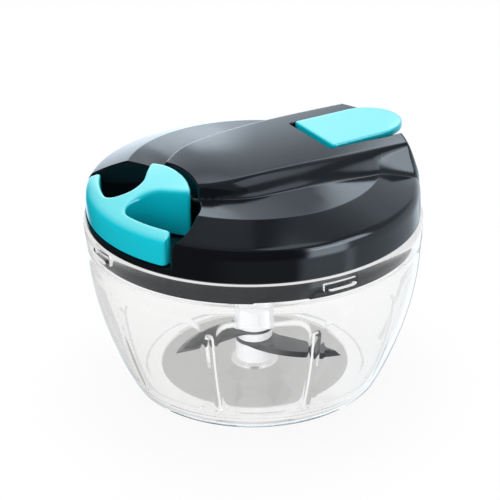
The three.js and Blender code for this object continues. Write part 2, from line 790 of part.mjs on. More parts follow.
// The winding as one unbroken tube: 24 rings of six points for each turn, and a straight end at the top
function makeWinding() {
  const perTurn = 24;
  const sides = 6;
  const rings = Math.round(perTurn * cordTurns);
  const sections = Array.from({ length: rings + 1 }, (_, i) => {
    const left = cordTurns * (1 - i / rings);
    const angle = leaveAngle + left * 360 * degree;
    const z = cordZ - cordPitch * left;
    return cordSection(new THREE.Vector3(windingRadius * Math.cos(angle), windingRadius * Math.sin(angle), z),
      new THREE.Vector3(Math.cos(angle), Math.sin(angle), 0), sides);
  });
  const end = leavePoint.clone().addScaledVector(leaveDirection, 2 * cordRadius);
  const outward = new THREE.Vector3(Math.cos(leaveAngle), Math.sin(leaveAngle), 0);
  sections.push(cordSection(end, outward, sides));
  console.log('least gap of the cord winding to itself', (cordPitch - 2 * cordRadius).toFixed(2));
  return loft(sections);
}

function cordSection(centre, outward, sides) {
  return Array.from({ length: sides }, (_, i) => {
    const angle = 360 * degree * i / sides;
    return centre.clone().addScaledVector(outward, cordRadius * Math.cos(angle))
      .add(new THREE.Vector3(0, 0, cordRadius * Math.sin(angle)));
  });
}

addPiece('cord_winding', makeWinding(), cordNylon);

// The lead from just outside the turning winding through the eyelet, and the stub that is knotted in the handle
const leadEndY = recessBackY - eyeletFlange - 2 * gap;
const sweptRadius = windingRadius + 2 * cordRadius + 2 * gap;
const leadStart = leavePoint.clone().addScaledVector(leaveDirection, Math.sqrt(sweptRadius ** 2 - windingRadius ** 2));
addPiece('cord_lead', tube(new THREE.CatmullRomCurve3([
  leadStart,
  new THREE.Vector3(leadStart.x / 2, blend(leadStart.y, aimY, 0.5), cordZ),
  new THREE.Vector3(0, eyeletInsideY, cordZ),
  new THREE.Vector3(0, recessBackY, cordZ),
  new THREE.Vector3(0, leadEndY, cordZ),
], false, 'centripetal'), cordRadius, 8, 12), cordNylon);

const stubStart = leadEndY - gap;
const knot = new THREE.SphereGeometry(knotRadius, 12, 8).scale(1, 0.9, 1).translate(0, knotY, cordZ);
const stub = disc(cordRadius, knotY, stubStart, tinyFacets).rotateX(-90 * degree);
addPiece('cord_end', solid(stub.translate(0, 0, cordZ)).add(solid(knot)), cordNylon);

addPiece('cord_eyelet', solid(turned([
  [eyeletBore, -coverWall - eyeletFlange], [eyeletRadius, -coverWall - eyeletFlange], [eyeletRadius, gap],
  [eyeletFlangeRadius, gap], [eyeletFlangeRadius, gap + eyeletFlange], [eyeletBore, gap + eyeletFlange],
  [eyeletBore, -coverWall - eyeletFlange],
], smallFacets).rotateX(90 * degree).translate(0, recessBackY, cordZ)), springSteel);

// Spring arbor: hangs from the cover, carries the top of the reel and holds the inner end of the spring
addPiece('spring_arbor', turned([
  [screwRadius + gap, arborBottom + screwHeadHeight], [screwHeadRadius + gap, arborBottom + screwHeadHeight],
  [screwHeadRadius + gap, arborBottom], [arborRadius, arborBottom], [arborRadius, arborTop],
  [arborFlangeRadius, arborTop], [arborFlangeRadius, arborTop + arborFlangeThickness],
  [screwRadius + gap, arborTop + arborFlangeThickness], [screwRadius + gap, arborBottom + screwHeadHeight],
], smallFacets), whitePlastic);

addPiece('arbor_screw', screw(screwHeadRadius, screwHeadHeight - seat, screwRadius,
  arborTop + arborFlangeThickness + screwLength / 2 - arborBottom - screwHeadHeight)
  .translate(0, 0, arborBottom + screwHeadHeight - seat), springSteel);

// Recoil spring: a flat strip wound in an even spiral from the arbor to the cup's wall
function makeSpring() {
  const bottom = reelWebTop + gap;
  const innerRadius = arborRadius + gap + springStrip;
  const outerRadius = reelCore - reelWall - gap - springStrip;
  const steps = springTurns * 16;
  const edge = (side) => Array.from({ length: steps + 1 }, (_, i) => {
    const angle = 360 * degree * springTurns * i / steps;
    const radius = blend(innerRadius, outerRadius, i / steps) + side * springStrip / 2;
    return new THREE.Vector2(radius * Math.cos(angle), radius * Math.sin(angle));
  });
  const outline = [...edge(1), ...edge(-1).reverse()];
  console.log('least gap of the recoil spring to itself',
    ((outerRadius - innerRadius) / springTurns - springStrip).toFixed(2));
  return raised(new THREE.Shape(outline), bottom, bottom + springWidth);
}

addPiece('recoil_spring', makeSpring(), springSteel);
addPiece('spring_cover', ring(arborRadius + gap, reelCore - reelWall - gap,
  reelTop - springCoverThickness, reelTop - seat, bodyFacets), springSteel);

// Pull handle: plan outline cut by a turned dome that follows the lid's slope
const hollowShares = [[1, 0.02], [0.62, 0.3], [0.16, 0.64], [0, 1]];

function handlePlan() {
  const cornerY = headEndY - headCornerDrop;
  const inner = barOuter - barThickness;
  const endAngle = barEndAngle * degree;
  const endSide = (radius, share) => [
    radius * Math.sin(endAngle * share), -radius * Math.cos(endAngle * share),
  ];
  const side = hollowShares.map(([x, y]) => new THREE.Vector2(
    blend(neckHalf, headHalf, x), blend(cornerY, neckY, y),
  ));
  const neckFoot = new THREE.Vector2(neckHalf * 1.4, blend(neckY, -inner, 0.72));
  const barStart = new THREE.Vector2(...endSide(inner, 0.33));
  const right = [
    new THREE.Vector2(0, headEndY),
    new THREE.Vector2(headHalf * 0.5, headEndY - headCornerDrop * 0.22),
    new THREE.Vector2(headHalf * 0.92, headEndY - headCornerDrop * 0.8),
    ...new THREE.SplineCurve([...side, neckFoot, barStart]).getPoints(18),
    ...[0.5, 0.66, 0.82, 0.96].map((share) => new THREE.Vector2(...endSide(inner, share))),
    new THREE.Vector2(...endSide(inner + barThickness * 0.2, 1)),
    new THREE.Vector2(...endSide(inner + barThickness * 0.8, 1)),
    ...[0.97, 0.8, 0.6, 0.4, 0.2].map((share) => new THREE.Vector2(...endSide(barOuter, share))),
  ];
  const left = right.slice(1).map((point) => new THREE.Vector2(-point.x, point.y)).reverse();
  return new THREE.Shape([...right, new THREE.Vector2(0, -barOuter), ...left]);
}

function makeHandle() {
  const inner = barOuter - barThickness;
  const headRadius = -headEndY;
  const dome = turned([
    [0, handleBottom], [barOuter, handleBottom],
    [barOuter - gap, blend(handleBottom, handleBarZ, 0.62)],
    [blend(barOuter, inner, 0.3), blend(handleBottom, handleBarZ, 0.84)],
    [inner, handleBarZ],
    [blend(inner, headRadius, 0.3), blend(handleBarZ, handleHeadZ, 0.4)],
    [blend(inner, headRadius, 0.65), blend(handleBarZ, handleHeadZ, 0.74)],
    [headRadius, handleHeadZ], [0, handleHeadZ],
  ], smoothFacets);
  const knotPocket = disc(knotRadius + gap, handleBottom - overrun, cordZ + knotRadius + gap, smallFacets)
    .translate(0, knotY, 0);
  const cordBore = disc(cordRadius + gap, knotY, headEndY + overrun, tinyFacets)
    .rotateX(-90 * degree).translate(0, 0, cordZ);
  return solid(raised(handlePlan(), handleBottom - overrun, handleHeadZ + overrun)).intersect(solid(dome))
    .subtract(solid(knotPocket)).subtract(solid(cordBore));
}

addPiece('handle', makeHandle(), aquaGloss);
addPiece('knot_plug', disc(knotRadius, handleBottom + seat, handleBottom + seat + knotPlugThickness, smallFacets)
  .translate(0, knotY, 0), aquaGloss);

// Vent cap: a tongue with rounded edges that rises a little to its tip, and a knuckle round the hinge pin
function capPlan() {
  const half = capFrontHalf - capRound;
  const tip = capTipRadius - capRound;
  const shape = new THREE.Shape();
  shape.moveTo(-half, capRound);
  shape.lineTo(half, capRound);
  shape.lineTo(tip, capTipY - capTipRadius - capFrontY);
  shape.absarc(0, capTipY - capTipRadius - capFrontY, tip, 0, Math.PI, false);
  shape.closePath();
  return shape;
}

function makeCap() {
  const plate = new THREE.ExtrudeGeometry(capPlan(), {
    depth: capThickness - 2 * capRound, bevelThickness: capRound, bevelSize: capRound, bevelSegments: 2,
    curveSegments: 12,
  });
  plate.translate(0, 0, capRound - capThickness).rotateX(-capTilt * degree).translate(0, capFrontY, capFrontZ);
  const knuckle = disc(knuckleRadius, -knuckleHalf, knuckleHalf, smallFacets)
    .rotateY(90 * degree).translate(0, hingeY, hingeZ);
  const bore = disc(hingePinRadius + gap, -capFrontHalf - overrun, capFrontHalf + overrun, tinyFacets)
    .rotateY(90 * degree).translate(0, hingeY, hingeZ);
  return solid(plate).add(solid(knuckle)).subtract(solid(bore));
}

addPiece('vent_cap', makeCap(), aquaGloss);
addPiece('cap_pin', disc(hingePinRadius, -hingePinReach(), hingePinReach(), tinyFacets)
  .rotateY(90 * degree).translate(0, hingeY, hingeZ), springSteel);

const capUndersideAtVent = capFrontZ - capThickness - (ventY - sealRadius - capFrontY) * Math.tan(capTilt * degree);
addPiece('vent_seal', turned([
  [0, pocketFloorZ + gap], [sealRadius * 0.8, pocketFloorZ + gap], [sealRadius, pocketFloorZ + 2 * gap],
  [sealRadius * 0.7, capUndersideAtVent - seat], [0, capUndersideAtVent - seat],
], smallFacets).translate(0, ventY, 0), softSeal);

// Blade unit: foot, lower blade, spacer, middle blade, caged stem, upper blade and six-sided head
addPiece('stem_foot', turned([
  [spigotRadius + 2 * gap, floorTop + bossHeight + gap], [collarRadius, floorTop + bossHeight + gap],
  [collarRadius, footTop], [coreRadius + gap, footTop], [coreRadius + gap, floorTop + bossHeight + gap + footRound],
  [spigotRadius + 2 * gap, floorTop + bossHeight + gap],
], smallFacets), whitePlastic);

function bladeShape() {
  const shape = new THREE.Shape();
  shape.moveTo(0, -collarRadius);
  shape.bezierCurveTo(bladeReach * 0.2, -bladeBelly * 1.06, bladeReach * 0.62, -bladeBelly * 1.25, bladeReach, 0);
  shape.quadraticCurveTo(bladeReach * 0.75, bladeBack, collarRadius * 1.3, bladeBack);
  shape.quadraticCurveTo(collarRadius * 0.9, bladeBack * 1.1, collarRadius * 0.6, collarRadius * 0.8);
  shape.absarc(0, 0, collarRadius, Math.atan2(0.8, 0.6), 270 * degree, false);
  const hole = new THREE.Path();
  hole.absarc(0, 0, coreRadius + gap, 0, 360 * degree, true);
  shape.holes.push(hole);
  return shape;
}

function addBlade(name, z, angle) {
  addPiece(name, raised(bladeShape(), z, z + bladeThickness, 12).rotateZ(angle * degree), bladeSteel);
}

addBlade('blade_lower', lowerBladeZ, lowerBladeAngle);
addBlade('blade_middle', middleBladeZ, lowerBladeAngle - 120);
addBlade('blade_upper', upperBladeZ, lowerBladeAngle + 120);
addPiece('blade_spacer', ring(coreRadius + gap, collarRadius - gap, lowerBladeZ + bladeThickness + seat,
  middleBladeZ - seat, smallFacets), whitePlastic);

function flute(angle) {
  const shape = new THREE.Shape();
  const half = fluteWidth / 2;
  const low = cageBottom + fluteMargin;
  const high = cageTop - fluteMargin - half;
  shape.moveTo(-half, low);
  shape.lineTo(half, low);
  shape.lineTo(half, high);
  shape.absarc(0, high, half, 0, Math.PI, false);
  shape.closePath();
  return solid(new THREE.ExtrudeGeometry(shape, { depth: fluteDepth + overrun, bevelEnabled: false, curveSegments: 6 })
    .rotateX(90 * degree).rotateZ(90 * degree).translate(cageRadius - fluteDepth, 0, 0).rotateZ(angle * degree));
}

function makeStem() {
  const body = solid(turned([
    [0, floorTop + spigotHeight + 2 * gap], [coreRadius, floorTop + spigotHeight + 2 * gap],
    [coreRadius, cageBottom], [cageRadius, cageBottom], [cageRadius, cageTop], [coreRadius, cageTop],
    [coreRadius, coreTop], [0, coreTop],
  ], smallFacets));
  const bore = disc(pinRadius + gap, floorTop, pinTop + 2 * gap, smallFacets);
  let stem = body.subtract(solid(bore));
  for (let i = 0; i < fluteCount; i += 1) stem = stem.subtract(flute(360 * i / fluteCount));
  return stem;
}

addPiece('blade_stem', makeStem(), whitePlastic);

function makeStemHead() {
  const shoulder = headBottom + headCollarHeight;
  const collar = turned([
    [0, headBottom], [collarRadius, headBottom], [collarRadius, shoulder],
    [headHexRadius, shoulder + roofWall], [0, shoulder + roofWall],
  ], smallFacets);
  const hex = turned([
    [0, shoulder], [headHexRadius, shoulder], [headHexRadius, headTop - roofWall],
    [headHexRadius - roofWall / 2, headTop], [0, headTop],
  ], 6);
  const bore = disc(coreRadius + gap, headBottom - overrun, coreTop + gap, smallFacets);
  return solid(collar).add(solid(hex)).subtract(solid(bore));
}

addPiece('stem_head', makeStemHead(), whitePlastic);

export default pieces;
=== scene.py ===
import math

import bpy
from mathutils import Matrix, Vector


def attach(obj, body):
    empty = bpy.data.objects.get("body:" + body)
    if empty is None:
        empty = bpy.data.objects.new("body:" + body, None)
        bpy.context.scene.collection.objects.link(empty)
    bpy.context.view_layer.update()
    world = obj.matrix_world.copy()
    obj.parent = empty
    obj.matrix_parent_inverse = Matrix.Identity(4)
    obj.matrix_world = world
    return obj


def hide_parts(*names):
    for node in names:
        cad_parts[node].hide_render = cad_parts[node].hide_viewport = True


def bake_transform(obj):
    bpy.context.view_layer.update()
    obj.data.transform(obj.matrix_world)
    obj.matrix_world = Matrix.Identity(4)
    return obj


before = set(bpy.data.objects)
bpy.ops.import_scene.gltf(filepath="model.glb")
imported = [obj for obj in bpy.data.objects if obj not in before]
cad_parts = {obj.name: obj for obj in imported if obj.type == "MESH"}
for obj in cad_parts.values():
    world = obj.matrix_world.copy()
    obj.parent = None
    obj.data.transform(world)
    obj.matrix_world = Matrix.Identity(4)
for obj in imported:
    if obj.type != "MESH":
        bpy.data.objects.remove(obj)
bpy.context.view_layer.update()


# The photographer's camera: it stands in front and to the right of the chopper, a little above it.
# The frame is square, and the chopper fills most of it.
aim = Vector((0, 0, 0.050))
camera_distance = 0.600
camera_azimuth = math.radians(61)
camera_elevation = math.radians(25.92)
camera_roll = math.radians(-0.69)
toward_camera = Vector((
    math.sin(camera_azimuth) * math.cos(camera_elevation),
    -math.cos(camera_azimuth) * math.cos(camera_elevation),
    math.sin(camera_elevation),
))
bpy.ops.object.select_all(action="DESELECT")
bpy.ops.object.camera_add(location=aim + camera_distance * toward_camera)
camera = bpy.context.object
camera.name = "camera"
camera.rotation_mode = "QUATERNION"
turn_to_aim = (-toward_camera).to_track_quat("-Z", "Y")
camera.rotation_quaternion = turn_to_aim @ Matrix.Rotation(camera_roll, 3, "Z").to_quaternion()
camera.data.lens = 111.04
camera.data.sensor_width = 36
camera.data.shift_x = -0.0068
camera.data.shift_y = 0.0024
camera.data.clip_start = 0.01
bpy.context.scene.camera = camera
bpy.context.scene.view_settings.view_transform = "Standard"


# The studio: a white floor that fades into a white background, with a soft lamp above the chopper and a
# weaker one in front. Shiny surfaces see a dark surround instead, with soft-edged panels of light, each
# placed by its bearing round the studio and by its height.
def feed(node, sockets):
    """Gives each of a node's sockets a value, or another node's output to read."""
    for name, value in sockets.items():
        if isinstance(value, bpy.types.NodeSocket):
            node.id_data.links.new(value, node.inputs[name])
        else:
            node.inputs[name].default_value = value


def add_node(tree, kind, sockets=None, **settings):
    """Adds a shader node with its settings, and feeds its sockets."""
    node = tree.nodes.new("ShaderNode" + kind)
    for setting, value in settings.items():
        setattr(node, setting, value)
    feed(node, sockets or {})
    return node


def worked(tree, operation, *values):
    """A maths node on up to three values, each a number or another node's output."""
    return add_node(tree, "Math", dict(enumerate(values)), operation=operation).outputs[0]


def mixed(tree, share, first, second):
    """Two shaders mixed: all the first at a share of nothing, all the second at one."""
    return add_node(tree, "MixShader", {"Fac": share, 1: first, 2: second}).outputs[0]


def new_look(name):
    """Opens a material, and gives it with its node tree."""
    look = bpy.data.materials.new(name)
    look.use_nodes = True
    return look, look.node_tree


floor_size = 6
floor_z = -0.0002
floor_glow_share = 0.9
bpy.ops.object.select_all(action="DESELECT")
bpy.ops.mesh.primitive_grid_add(
    x_subdivisions=4, y_subdivisions=4, size=floor_size, location=(0, 0, floor_z))
floor = bpy.context.object
floor.name = "studio_floor"
floor_look, ground = new_look("white_floor")
ground.nodes.clear()
floor_rays = add_node(ground, "LightPath").outputs
floor_paint = add_node(ground, "BsdfDiffuse", {"Color": (0.86, 0.86, 0.86, 1)}).outputs[0]
floor_glow = add_node(ground, "Emission", {"Color": (1, 1, 1, 1), "Strength": 1}).outputs[0]
floor_clear = add_node(ground, "BsdfTransparent").outputs[0]
mirrored = add_node(ground, "Math", {
    0: floor_rays["Is Glossy Ray"], 1: floor_rays["Is Transmission Ray"],
}, operation="SUBTRACT", use_clamp=True).outputs[0]
floor_mix = mixed(ground, floor_glow_share, floor_paint, floor_glow)
add_node(ground, "OutputMaterial", {"Surface": mixed(ground, mirrored, floor_mix, floor_clear)})
floor.data.materials.append(floor_look)

world = bpy.data.worlds.new("studio")
bpy.context.scene.world = world
world.use_nodes = True
sky = world.node_tree
sky.nodes.clear()
direction = add_node(sky, "TexCoord").outputs["Generated"]


def along_direction(x, y, z):
    """How far a ray's direction points along another one."""
    product = add_node(sky, "VectorMath", {0: direction, 1: (x, y, z)}, operation="DOT_PRODUCT")
    return product.outputs["Value"]


toward = along_direction(math.sin(camera_azimuth), -math.cos(camera_azimuth), 0)
rightward = along_direction(math.cos(camera_azimuth), math.sin(camera_azimuth), 0)
height = worked(sky, "ARCSINE", along_direction(0, 0, 1))
bearing = worked(sky, "ARCTAN2", rightward, toward)
back_bearing = worked(sky, "ARCTAN2", rightward, worked(sky, "MULTIPLY", toward, -1))


def stepped(value, edge, soft):
    """Rises smoothly from nothing to one across an edge, in degrees."""
    return add_node(sky, "MapRange", {
        "Value": value, "From Min": math.radians(edge - soft), "From Max": math.radians(edge + soft),
    }, interpolation_type="SMOOTHSTEP").outputs["Result"]


def light_panel(around, strength, left, right, low, high, side_soft, soft):
    """A soft-edged patch of light between two bearings and two heights, in degrees."""
    sideways = worked(sky, "SUBTRACT", stepped(around, left, side_soft), stepped(around, right, side_soft))
    upwards = worked(sky, "SUBTRACT", stepped(height, low, soft), stepped(height, high, soft))
    return worked(sky, "MULTIPLY", worked(sky, "MULTIPLY", sideways, upwards), strength)


panels_behind = (
    (0.42, -24, 40, -60, 50, 7, 7),
    (1.10, -24, 4, -35, 21, 9, 7),
    (0.35, -24, 1, -8, 31, 6, 5),
    (0.16, -24, 8, 20, 38, 6, 4),
    (2.0, 6, 16, 22, 36, 2, 4),
    (1.4, -9, -3, 11, 24, 2, 2),
    (1.1, -18, 22, 36, 48, 5, 4),
    (0.12, -28, 40, 48, 72, 8, 6),
)
panels_beside = (
    (0.44, 64, 160, -60, 42, 3, 5),
    (0.34, 64, 160, -60, 14, 3, 7),
    (0.30, 28, 165, 40, 66, 6, 5),
    (1.6, 20, 160, 66, 100, 12, 4),
    (0.22, -200, 20, 56, 100, 12, 5),
    (0.95, 31, 70, -80, -18, 4, 4),
    (0.14, -20, 31, -80, -16, 14, 4),
    (4.4, 36, 63, -18, 20, 3, 3),
    (5.4, 38, 84, 14, 37, 3, 3),
    (2.2, 64, 88, 34, 46, 4, 4),
)
panel_light = 0.03
for around, panels in ((back_bearing, panels_behind), (bearing, panels_beside)):
    for panel in panels:
        panel_light = worked(sky, "ADD", light_panel(around, *panel), panel_light)
rays = add_node(sky, "LightPath").outputs
seen = worked(sky, "MAXIMUM", rays["Is Camera Ray"], rays["Is Transmission Ray"])
white_world = add_node(sky, "Background", {"Color": (1, 1, 1, 1), "Strength": 1}).outputs[0]
soft_world = add_node(sky, "Background", {"Color": (0.97, 0.985, 1, 1), "Strength": 0.55}).outputs[0]
gloss_world = add_node(sky, "Background", {"Color": (0.87, 1, 1.12, 1), "Strength": panel_light}).outputs[0]
unseen_world = mixed(sky, rays["Is Glossy Ray"], soft_world, gloss_world)
add_node(sky, "OutputWorld", {"Surface": mixed(sky, seen, unseen_world, white_world)})


def hang_lamp(name, spot, size, power):
    """Hangs a square soft lamp that shines at the chopper, and that shiny surfaces don't mirror."""
    bpy.ops.object.light_add(type="AREA", location=spot)
    lamp = bpy.context.object
    lamp.name = name
    lamp.data.shape = "SQUARE"
    lamp.data.size = size
    lamp.data.energy = power
    lamp.rotation_mode = "QUATERNION"
    lamp.rotation_quaternion = (aim - Vector(spot)).to_track_quat("-Z", "Y")
    lamp.visible_glossy = False
    lamp.visible_camera = False


hang_lamp("top_lamp", (-0.15, 0.10, 0.85), 0.70, 6.0)
hang_lamp("front_lamp", (0.55, -0.65, 0.45), 0.50, 2.2)


# The bowl: one clear moulding with a thick flat foot, a bellied wall with upright ribs between shallow
# panels, and a straight band at the rim. Four blind slots in the band mark the lugs that the lid turns
# under, and a spigot in the middle of the floor holds the centre pin.
mm = 0.001
rim_radius = 65 * mm
bowl_height = 67.8 * mm
band_bottom = 59.4 * mm
band_middle = 63.5 * mm
band_wall = 2.1 * mm
band_step = 0.3 * mm
base_radius = 49.3 * mm
bowl_wall = 2.4 * mm
floor_top = 3 * mm
floor_round = 6 * mm
well_radius = 37.8 * mm
rib_count = 10
rib_gap = 360 / rib_count
first_rib = 28
rib_half_angle = 1.55
rib_depth = 1.3 * mm
rib_shape = 0.8
rib_top = 47 * mm
rib_top_run = 3 * mm
rib_foot = 4 * mm
rib_foot_run = 5 * mm
panel_top = 52 * mm
panel_bottom = 9 * mm
panel_depth = 0.45 * mm
panel_corner = 7 * mm
panel_edge = 0.9 * mm
panel_off_rib = 0.5


def smooth_step(value):
    value = min(max(value, 0), 1)
    return value * value * (3 - 2 * value)


def in_mm(points):
    """Points that are given in millimetres."""
    return [(first * mm, second * mm) for first, second in points]


def on_circle(radius, angle):
    """Plan of a point on a circle round the blade axis, with its angle in degrees."""
    return radius * math.cos(math.radians(angle)), radius * math.sin(math.radians(angle))


def select_only(piece):
    """Makes a piece the only one that is selected, and the active one."""
    bpy.ops.object.select_all(action="DESELECT")
    piece.select_set(True)
    bpy.context.view_layer.objects.active = piece


def wrapped(name, rings):
    """A grid bent round into closed rings, one row for each ring, with its two ends capped."""
    around = len(rings[0])
    bpy.ops.object.select_all(action="DESELECT")
    bpy.ops.mesh.primitive_grid_add(x_subdivisions=around, y_subdivisions=len(rings) - 1, size=1)
    piece = bpy.context.object
    piece.name = name
    for row, ring_points in enumerate(rings):
        for column in range(around + 1):
            piece.data.vertices[row * (around + 1) + column].co = ring_points[column % around]
    bpy.ops.object.mode_set(mode="EDIT")
    bpy.ops.mesh.select_all(action="SELECT")
    bpy.ops.mesh.remove_doubles(threshold=1e-6)
    bpy.ops.mesh.select_all(action="DESELECT")
    bpy.ops.mesh.select_mode(type="EDGE")
    bpy.ops.mesh.select_non_manifold()
    bpy.ops.mesh.fill_holes(sides=0)
    bpy.ops.mesh.select_mode(type="VERT")
    bpy.ops.mesh.select_all(action="SELECT")
    bpy.ops.mesh.normals_make_consistent(inside=False)
    bpy.ops.object.mode_set(mode="OBJECT")
    return piece


def cut(piece, *tools, operation="DIFFERENCE"):
    """Cuts one piece by one or more tools that lie apart, or adds them to it, and clears them away."""
    bpy.ops.object.select_all(action="DESELECT")
    tool = bpy.context.view_layer.objects.active = tools[0]
    if len(tools) > 1:
        for part in tools:
            part.select_set(True)
        bpy.ops.object.join()
    select_only(piece)
    bpy.ops.object.modifier_add(type="BOOLEAN")
    knife = piece.modifiers[-1]
    knife.operation = operation
    knife.object = tool
    knife.solver = "EXACT"
    bpy.ops.object.modifier_apply(modifier=knife.name)
    bpy.data.objects.remove(tool)
    return piece


def smooth(piece, angle=32):
    """Smooth shading that leaves the edges sharper than the angle crisp."""
    select_only(piece)
    bpy.ops.object.shade_smooth_by_angle(angle=math.radians(angle))


def bowl_outside(z):
    """Radius of the bellied wall at a height."""
    rise = min(z / band_bottom, 1)
    return rim_radius - (rim_radius - base_radius) * (1 - rise) ** 2


def bowl_inside(angle, z):
    """The inner wall: ribs stand proud of it, and each panel between two ribs is sunk a little."""
    radius = bowl_outside(z) - bowl_wall
    off_rib = abs((angle - first_rib + rib_gap / 2) % rib_gap - rib_gap / 2)
    ends = smooth_step((rib_top - z) / rib_top_run) * smooth_step((z - rib_foot) / rib_foot_run)
    radius -= rib_depth * math.cos(min(off_rib / rib_half_angle, 1) * math.pi / 2) ** rib_shape * ends
    sideways = math.radians(rib_gap / 2 - off_rib) * radius
    half_width = math.radians(rib_gap / 2 - rib_half_angle - panel_off_rib) * radius - panel_corner
    half_height = (panel_top - panel_bottom) / 2 - panel_corner
    middle = (panel_top + panel_bottom) / 2
    outside = math.hypot(max(sideways - half_width, 0), max(abs(z - middle) - half_height, 0))
    return radius + panel_depth * smooth_step((panel_corner - outside) / panel_edge)


def level_rings(rows, angles):
    """Level rings, one for each radius and height."""
    return [[Vector((*on_circle(radius, a), z)) for a in angles] for radius, z in rows]


columns_at_rib = 34
columns_between = 11
at_rib = [rib_gap / 2 * (i / columns_at_rib - 0.5) for i in range(columns_at_rib + 1)]
between_ribs = [rib_gap / 2 * (i / columns_between + 0.5) for i in range(1, columns_between)]
bowl_angles = [first_rib + rib_gap * rib + off for rib in range(rib_count) for off in at_rib + between_ribs]
bowl_rows = in_mm([
    (0.2, 1.2), (30, 1.2), (43, 1.2), (44.2, 0.1), (44.6, 0), (47.6, 0), (48.3, 0.15), (49.2, 0.6),
])
outer_foot = 1.3 * mm
outer_rise = band_bottom - 1.7 * mm
outer_rows = 18
for i in range(outer_rows + 1):
    z = outer_foot + outer_rise * i / outer_rows
    bowl_rows.append((bowl_outside(z) - band_step * smooth_step(i / 6), z))
band_inner = rim_radius - band_wall
bowl_rows += [
    (rim_radius - 0.05 * mm, band_bottom + 0.2 * mm), (rim_radius, band_bottom + 0.4 * mm),
    (rim_radius, band_middle), (rim_radius, bowl_height - 0.6 * mm),
    (rim_radius - 0.2 * mm, bowl_height - 0.1 * mm), (rim_radius - 0.6 * mm, bowl_height),
    (band_inner + 0.6 * mm, bowl_height), (band_inner + 0.2 * mm, bowl_height - 0.1 * mm),
    (band_inner, bowl_height - 0.5 * mm), (band_inner, band_middle),
    (band_inner, band_bottom + 0.2 * mm), (band_inner - 0.1 * mm, band_bottom - 0.1 * mm),
]
bowl_rings = level_rings(bowl_rows, bowl_angles)
inner_top = band_bottom - 0.8 * mm
inner_foot = floor_top + floor_round
inner_rows = 63
for i in range(inner_rows + 1):
    z = inner_top - (inner_top - inner_foot) * i / inner_rows
    bowl_rings.append([Vector((*on_circle(bowl_inside(a, z), a), z)) for a in bowl_angles])
floor_round_centre = bowl_outside(inner_foot) - bowl_wall - floor_round
floor_rows = [(
    floor_round_centre + floor_round * math.sin(math.radians(a)),
    floor_top + floor_round * (1 - math.cos(math.radians(a))),
) for a in range(84, -1, -12)]
floor_rows += in_mm([
    (38.3, 3), (37.95, 2.9), (37.6, 2.6), (37.3, 2.5), (20, 2.5), (9.8, 2.5), (9.3, 2.8), (9.1, 3.5),
    (8.6, 3.8), (5, 3.8), (4.5, 4.1), (4.4, 7.6), (4.1, 8), (2.3, 8), (2.3, 2), (0.2, 2),
])
bowl = wrapped("clear_bowl", bowl_rings + level_rings(floor_rows, bowl_angles))


def rim_block(name, inner, outer, edges):
    """A block that follows the rim: each edge gives an angle with the block's low and high side there."""
    corners = ((inner, 0), (outer, 0), (outer, 1), (inner, 1))
    return wrapped(name, [
        [Vector((*on_circle(radius, a), sides[end])) for radius, end in corners] for a, *sides in edges
    ])


lug_inner = 61.5 * mm
lug_middle = 63.4 * mm
lug_half = 1.3 * mm
lug_low = lug_middle - lug_half
lug_high = lug_middle + lug_half
lug_half_angle = 5.9
slot_back = 62.5 * mm
slot_half = 0.85 * mm
slot_half_angle = 5.2
slot_end = [(0, 0.15), (0.03, 0.55), (0.08, 0.85), (0.14, 1)]
slot_spans = slot_end + [(0.3, 1), (0.5, 1), (0.7, 1)] + [(1 - at, part) for at, part in reversed(slot_end)]
for i in range(4):
    lug_start = 90 * i - lug_half_angle
    lug = rim_block("lug", lug_inner, rim_radius - mm, [
        (lug_start + 2 * lug_half_angle * step / 10, lug_low, lug_high) for step in range(11)
    ])
    cut(bowl, lug, operation="UNION")
    slot_edges = []
    for at, part in slot_spans:
        a = 90 * i - slot_half_angle + 2 * slot_half_angle * at
        slot_edges.append((a, lug_middle - slot_half * part, lug_middle + slot_half * part))
    cut(bowl, rim_block("slot", slot_back, rim_radius + mm, slot_edges))
smooth(bowl, 40)


def ranged(tree, value, low, high, first=0, last=1):
    """Runs evenly from the first number to the last while a value goes from low to high."""
    return add_node(tree, "MapRange", {
        "Value": value, "From Min": low, "From Max": high, "To Min": first, "To Max": last,
    }).outputs["Result"]


def noise(tree, spot, scale, detail, roughness=0.5):
    """A cloudy pattern over a piece."""
    return add_node(tree, "TexNoise", {
        "Vector": spot, "Scale": scale, "Detail": detail, "Roughness": roughness,
    }).outputs["Fac"]


